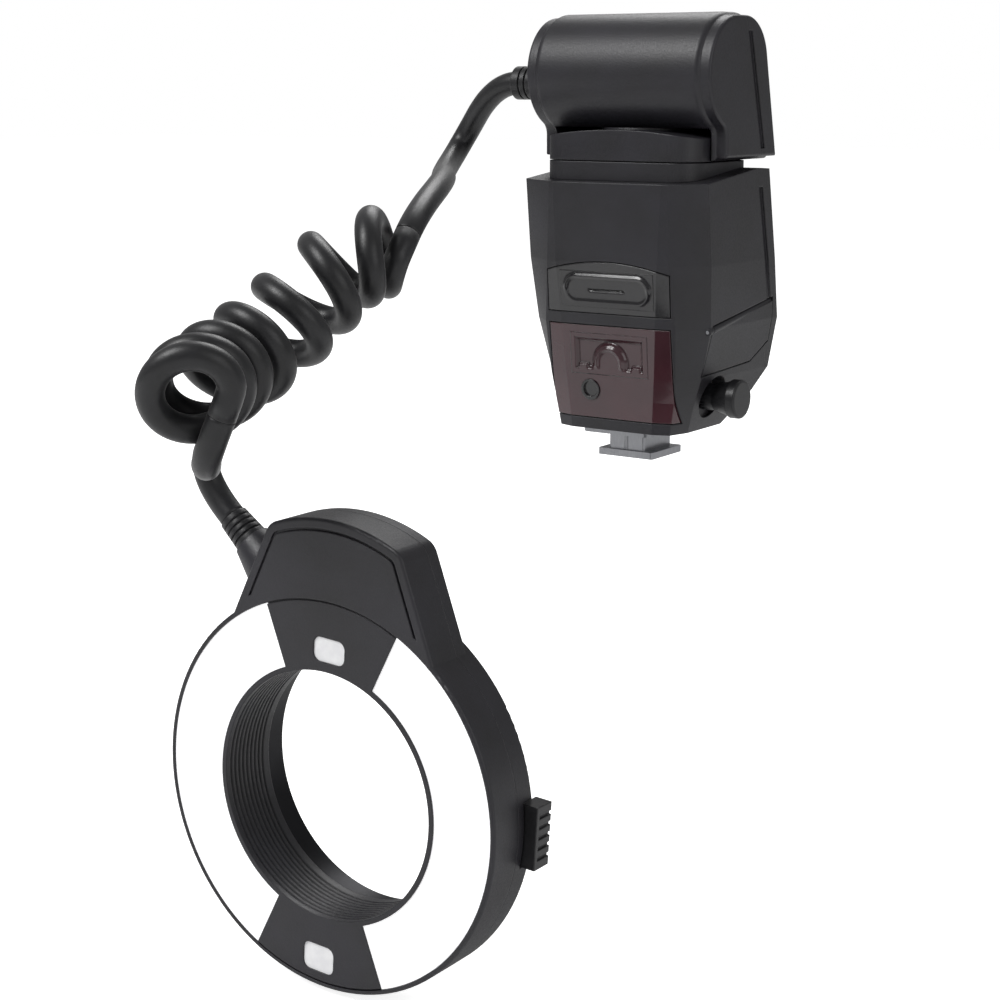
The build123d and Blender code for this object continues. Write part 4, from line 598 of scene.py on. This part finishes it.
class FlashLooks(bpy.types.PropertyGroup):
    """Colours and sizes of the ring flash's finishes."""
    body_dark: colour_setting("Body, dark", "Darker drift of the textured mouldings", "#1f1e22")
    body_pale: colour_setting("Body, pale", "Paler drift of the textured mouldings", "#25242a")
    trim_dark: colour_setting("Trim, dark", "Darker drift of the satin mouldings", "#18181a")
    trim_pale: colour_setting("Trim, pale", "Paler drift of the satin mouldings", "#1e1e21")
    cover_dark: colour_setting("Cover, dark", "Darker drift of the polished cover", "#141316")
    cover_pale: colour_setting("Cover, pale", "Paler drift of the polished cover", "#1a191c")
    window_dark: colour_setting("Window, dark", "Darker drift of the red window", "#3a2026")
    window_pale: colour_setting("Window, pale", "Paler drift of the red window", "#46262d")
    rubber_dark: colour_setting("Rubber, dark", "Darker drift of the cord's jacket", "#151517")
    rubber_pale: colour_setting("Rubber, pale", "Paler drift of the cord's jacket", "#1c1c1f")
    diffuser_glow: FloatProperty(name="Diffuser glow", description="Light that the lit diffusers give",
                                 default=0.55, min=0.0, max=2.0)
    cord_diameter: FloatProperty(name="Cord diameter", description="Outer diameter of the curly cord",
                                 default=CORD_DIAMETER * MM, min=0.004, max=0.01, unit="LENGTH")


class FlashStage(bpy.types.PropertyGroup):
    """The studio around the flash."""
    key_power: FloatProperty(name="Key power", description="Power of the large front light", default=15.0,
                             min=0.0, unit="POWER")
    fill_power: FloatProperty(name="Fill power", description="Power of the side light", default=3.0,
                              min=0.0, unit="POWER")
    rim_power: FloatProperty(name="Rim power", description="Power of the light from behind", default=8.0,
                             min=0.0, unit="POWER")
    floor_drop: FloatProperty(name="Floor drop", description="Room under the lowest point of the ring",
                              default=0.002, min=0.0, unit="LENGTH")


# Operators

class FLASH_OT_stage(bpy.types.Operator):
    """Makes the camera, the pale floor, the sky and the lights"""
    bl_idname = "flash.stage"
    bl_label = "Stage"

    def execute(self, context):
        scene = context.scene
        settings = scene.flash_stage
        scene.view_settings.view_transform = "Standard"
        lens = bpy.data.cameras.new("camera")
        lens.sensor_width = SENSOR_WIDTH
        lens.lens = LENS
        camera = bpy.data.objects.new("camera", lens)
        camera.location = CAMERA_PLACE
        camera.rotation_euler = (pi / 2 - CAMERA_DOWN, 0.0, CAMERA_YAW)
        scene.collection.objects.link(camera)
        scene.camera = camera

        centre = Vector(STAGE_CENTRE)
        for name, place, size, setting in LIGHTS:
            lamp = bpy.data.lights.new(name, "AREA")
            lamp.size = size
            lamp.energy = getattr(settings, setting)
            light = bpy.data.objects.new(name, lamp)
            light.location = place
            light.rotation_euler = (centre - Vector(place)).to_track_quat("-Z", "Y").to_euler()
            scene.collection.objects.link(light)

        world = bpy.data.worlds.new("white_studio")
        world.use_nodes = True
        tree = world.node_tree
        tree.nodes.clear()
        rays = add_node(tree, "ShaderNodeLightPath").outputs
        seen = add_node(tree, "ShaderNodeMath", {0: rays["Is Camera Ray"], 1: rays["Is Transmission Ray"]},
                        operation="MAXIMUM").outputs["Value"]
        power = add_node(tree, "ShaderNodeMapRange", {"Value": seen, "To Min": SKY_LIGHT, "To Max": 1.0})
        sky = add_node(tree, "ShaderNodeBackground", {"Color": linear("#ffffff"),
                                                      "Strength": power.outputs["Result"]})
        add_node(tree, "ShaderNodeOutputWorld", {"Surface": sky.outputs["Background"]})
        scene.world = world

        material, tree, shader = new_material("white_painted_board")
        cloud = grain(tree, 0.25, 2.0).outputs["Fac"]
        tint = colour_steps(tree, cloud, ((0.3, linear("#f2f2f2")), (0.7, linear("#f8f8f8"))))
        rays = add_node(tree, "ShaderNodeLightPath").outputs
        glow = add_node(tree, "ShaderNodeMapRange", {"Value": rays["Is Camera Ray"], "To Min": 0.0,
                                                     "To Max": FLOOR_GLOW})
        tree.links.new(tint, shader.inputs["Base Color"])
        tree.links.new(tint, shader.inputs["Emission Color"])
        tree.links.new(glow.outputs["Result"], shader.inputs["Emission Strength"])
        shader.inputs["Roughness"].default_value = 0.8
        low = cad_bounds[0][2] - settings.floor_drop
        mesh = bpy.data.meshes.new("floor")
        corners = [(x * FLOOR_HALF, y * FLOOR_HALF, low) for x, y in ((-1, -1), (1, -1), (1, 1), (-1, 1))]
        mesh.from_pydata(corners, [], [(0, 1, 2, 3)])
        mesh.materials.append(material)
        floor = bpy.data.objects.new("floor", mesh)
        scene.collection.objects.link(floor)
        return {"FINISHED"}


class FLASH_OT_cord(bpy.types.Operator):
    """Makes the cord's three stretches: from the boot, the curls, and up to the head"""
    bl_idname = "flash.cord"
    bl_label = "Curly cord"

    def execute(self, context):
        looks = context.scene.flash_looks
        jacket = cord_jacket(looks)
        lower, curls, upper = cord_routes()
        for name, route in (("cord_lower", lower), ("cord_coil", curls), ("cord_upper", upper)):
            line = spline_line(route, ROUTE_STEPS[name])
            mesh = tube_mesh("jacket_" + name, line, looks.cord_diameter / 2, CORD_AROUND)
            piece = put("jacket_" + name, mesh, jacket)
            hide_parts(name)
            run = float(np.linalg.norm(np.diff(line, axis=0), axis=1).sum())
            coiled = name == "cord_coil"
            if coiled:
                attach(piece, "base")
            elif name == "cord_upper":
                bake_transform(piece)
            else:
                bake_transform(piece)
            print(name, f"{run:.4f} m")
        dress(jacket, "strain_relief", "cord_gland")
        return {"FINISHED"}


class FLASH_OT_mouldings(bpy.types.Operator):
    """Finishes the textured and satin mouldings of the body, the head and the ring"""
    bl_idname = "flash.mouldings"
    bl_label = "Mouldings"

    def execute(self, context):
        looks = context.scene.flash_looks
        dress(moulded_abs(looks), "body_front_shell", "body_rear_shell", "head_front_shell",
              "head_rear_shell", "neck_block", "neck_collar", "ring_front_shell", "ring_rear_shell",
              "inner_frame", "battery_door", "terminal_cover")
        dress(smooth_abs(looks), "lock_knob", "release_slider_left", "release_slider_right",
              "power_switch", "battery_tray", "power_socket")
        return {"FINISHED"}


class FLASH_OT_front_panel(bpy.types.Operator):
    """Finishes the polished cover, the red window, its sensor and the lamps behind it"""
    bl_idname = "flash.front_panel"
    bl_label = "Front panel"

    def execute(self, context):
        looks = context.scene.flash_looks
        cover = polished_cover(looks)
        dress(cover, "front_cover", "sensor_eye")
        acrylic = red_acrylic(looks)
        dress(acrylic, "af_window")
        for name, mesh, material, slot in (
            ("window_field", relief_mesh("window_field", *FIELD_SHEET, WINDOW_FACE, window_height),
             acrylic, "window"),
            ("cover_grip", relief_mesh("cover_grip", *GRIP_SHEET, COVER_FACE, grip_height),
             cover, "gloss"),
        ):
            piece = put(name, mesh, material)
            wall = piece.modifiers.new("wall", "SOLIDIFY")
            wall.thickness = RELIEF_THICKNESS
            wall.offset = -1.0
            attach(piece, "base")
        dress(textured("moulded_lamp_lens", linear("#7a1216"), linear("#8c171b"), 1.0, rough=(0.12, 0.2)),
              "af_lamp")
        return {"FINISHED"}


class FLASH_OT_light_units(bpy.types.Operator):
    """Finishes the diffusers, the reflectors, the flash tubes and the modelling lamps"""
    bl_idname = "flash.light_units"
    bl_label = "Light units"

    def execute(self, context):
        looks = context.scene.flash_looks
        dress(frosted_diffuser(looks), "diffuser_left", "diffuser_right")
        dress(lamp_lens(looks), "lamp_windows")
        dress(brushed_metal("bright_rolled_aluminium", linear("#c9cacc"), linear("#dededf"), (0.08, 0.2)),
              "reflector_left", "reflector_right")
        dress(clear_glass("quartz_tube", linear("#f4f6fa"), 0.01), "flash_tube_left", "flash_tube_right")
        dress(textured("epoxy_lamp_dome", linear("#e8e0b0"), linear("#f4eecb"), 0.6, rough=(0.1, 0.2)),
              "focus_lamps")
        return {"FINISHED"}


class FLASH_OT_metals(bpy.types.Operator):
    """Finishes the foot, the adapter, pins, screws, springs and contacts"""
    bl_idname = "flash.metals"
    bl_label = "Metal parts"

    def execute(self, context):
        dress(brushed_metal("brushed_stainless_steel", linear("#94959a"), linear("#a6a7aa"), (0.25, 0.4)),
              "shoe_foot", "lock_pin", "door_pins", "swivel_spindle", "battery_contacts", "door_contacts")
        dress(brushed_metal("black_zinc_steel", linear("#35353a"), linear("#4a4a50"), (0.25, 0.4)),
              "ring_screws", "release_spring_left", "release_spring_right")
        dress(brushed_metal("gold_plated_brass", linear("#c79b4d"), linear("#dcb468"), (0.15, 0.28)),
              "shoe_contact_pins")
        dress(textured("black_anodised_aluminium", linear("#1d1d20"), linear("#28282b"), 0.3,
                       rough=(0.3, 0.42), bump=0.04, Metallic=0.8), "adapter_ring")
        dress(textured("capacitor_sleeve", linear("#16181f"), linear("#1d2029"), 3.0, rough=(0.25, 0.35)),
              "main_capacitor")
        return {"FINISHED"}


class FLASH_OT_controls(bpy.types.Operator):
    """Finishes the buttons on the back and the display"""
    bl_idname = "flash.controls"
    bl_label = "Controls"

    def execute(self, context):
        rubber = textured("silicone_button_rubber", linear("#2a2a2d"), linear("#323236"), 0.5,
                          rough=(0.45, 0.58), bump=0.05, Sheen_Weight=0.1)
        dress(rubber, "button_mode", "button_ratio", "button_lamp", "button_minus", "button_set",
              "button_plus", "button_test", "button_mat")
        ink = textured("white_pad_print", linear("#c9cacc"), linear("#d6d7d8"), 0.4, rough=(0.4, 0.5),
                       bump=0.03, edge_mm=0.03)
        for node, outlines in button_marks().items():
            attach(put("mark_" + node, mark_mesh("mark_" + node, outlines, node), ink), node)
        dress(clear_glass("display_window_acrylic", linear("#c6cbc8"), 0.01), "lcd_window")
        dress(textured("display_glass_stack", linear("#7d8a80"), linear("#87948a"), 4.0, rough=(0.2, 0.3),
                       bump=0.01), "lcd_module")
        return {"FINISHED"}


class FLASH_OT_inner_parts(bpy.types.Operator):
    """Finishes the circuit boards and the cells"""
    bl_idname = "flash.inner_parts"
    bl_label = "Inner parts"

    def execute(self, context):
        dress(textured("solder_masked_glass_epoxy", linear("#173d24"), linear("#1f4d2e"), 0.8,
                       rough=(0.25, 0.4)), "main_circuit_board", "inverter_board", "ring_circuit_board")
        dress(textured("shrink_sleeve_pvc", linear("#2f4f7a"), linear("#375a88"), 8.0, rough=(0.2, 0.3),
                       bump=0.02), "battery_cells")
        return {"FINISHED"}


class FLASH_PT_panel(bpy.types.Panel):
    """Lists the steps and the settings of the ring flash"""
    bl_label = "Ring Flash"
    bl_idname = "FLASH_PT_panel"
    bl_space_type = "VIEW_3D"
    bl_region_type = "UI"
    bl_category = "Ring Flash"

    def draw(self, context):
        for step in OPERATORS:
            self.layout.operator(step.bl_idname)
        for settings in (context.scene.flash_looks, context.scene.flash_stage):
            for name in settings.__annotations__:
                self.layout.prop(settings, name)


OPERATORS = (FLASH_OT_stage, FLASH_OT_cord, FLASH_OT_mouldings, FLASH_OT_front_panel, FLASH_OT_light_units,
             FLASH_OT_metals, FLASH_OT_controls, FLASH_OT_inner_parts)
CLASSES = (FlashLooks, FlashStage, *OPERATORS, FLASH_PT_panel)


def register():
    for one in CLASSES:
        bpy.utils.register_class(one)
    bpy.types.Scene.flash_looks = PointerProperty(type=FlashLooks)
    bpy.types.Scene.flash_stage = PointerProperty(type=FlashStage)


def unregister():
    del bpy.types.Scene.flash_stage
    del bpy.types.Scene.flash_looks
    for one in reversed(CLASSES):
        bpy.utils.unregister_class(one)


def main():
    register()
    bpy.ops.flash.stage()
    bpy.ops.flash.cord()
    bpy.ops.flash.mouldings()
    bpy.ops.flash.front_panel()
    bpy.ops.flash.light_units()
    bpy.ops.flash.metals()
    bpy.ops.flash.controls()
    bpy.ops.flash.inner_parts()


if __name__ == "__main__":
    main()
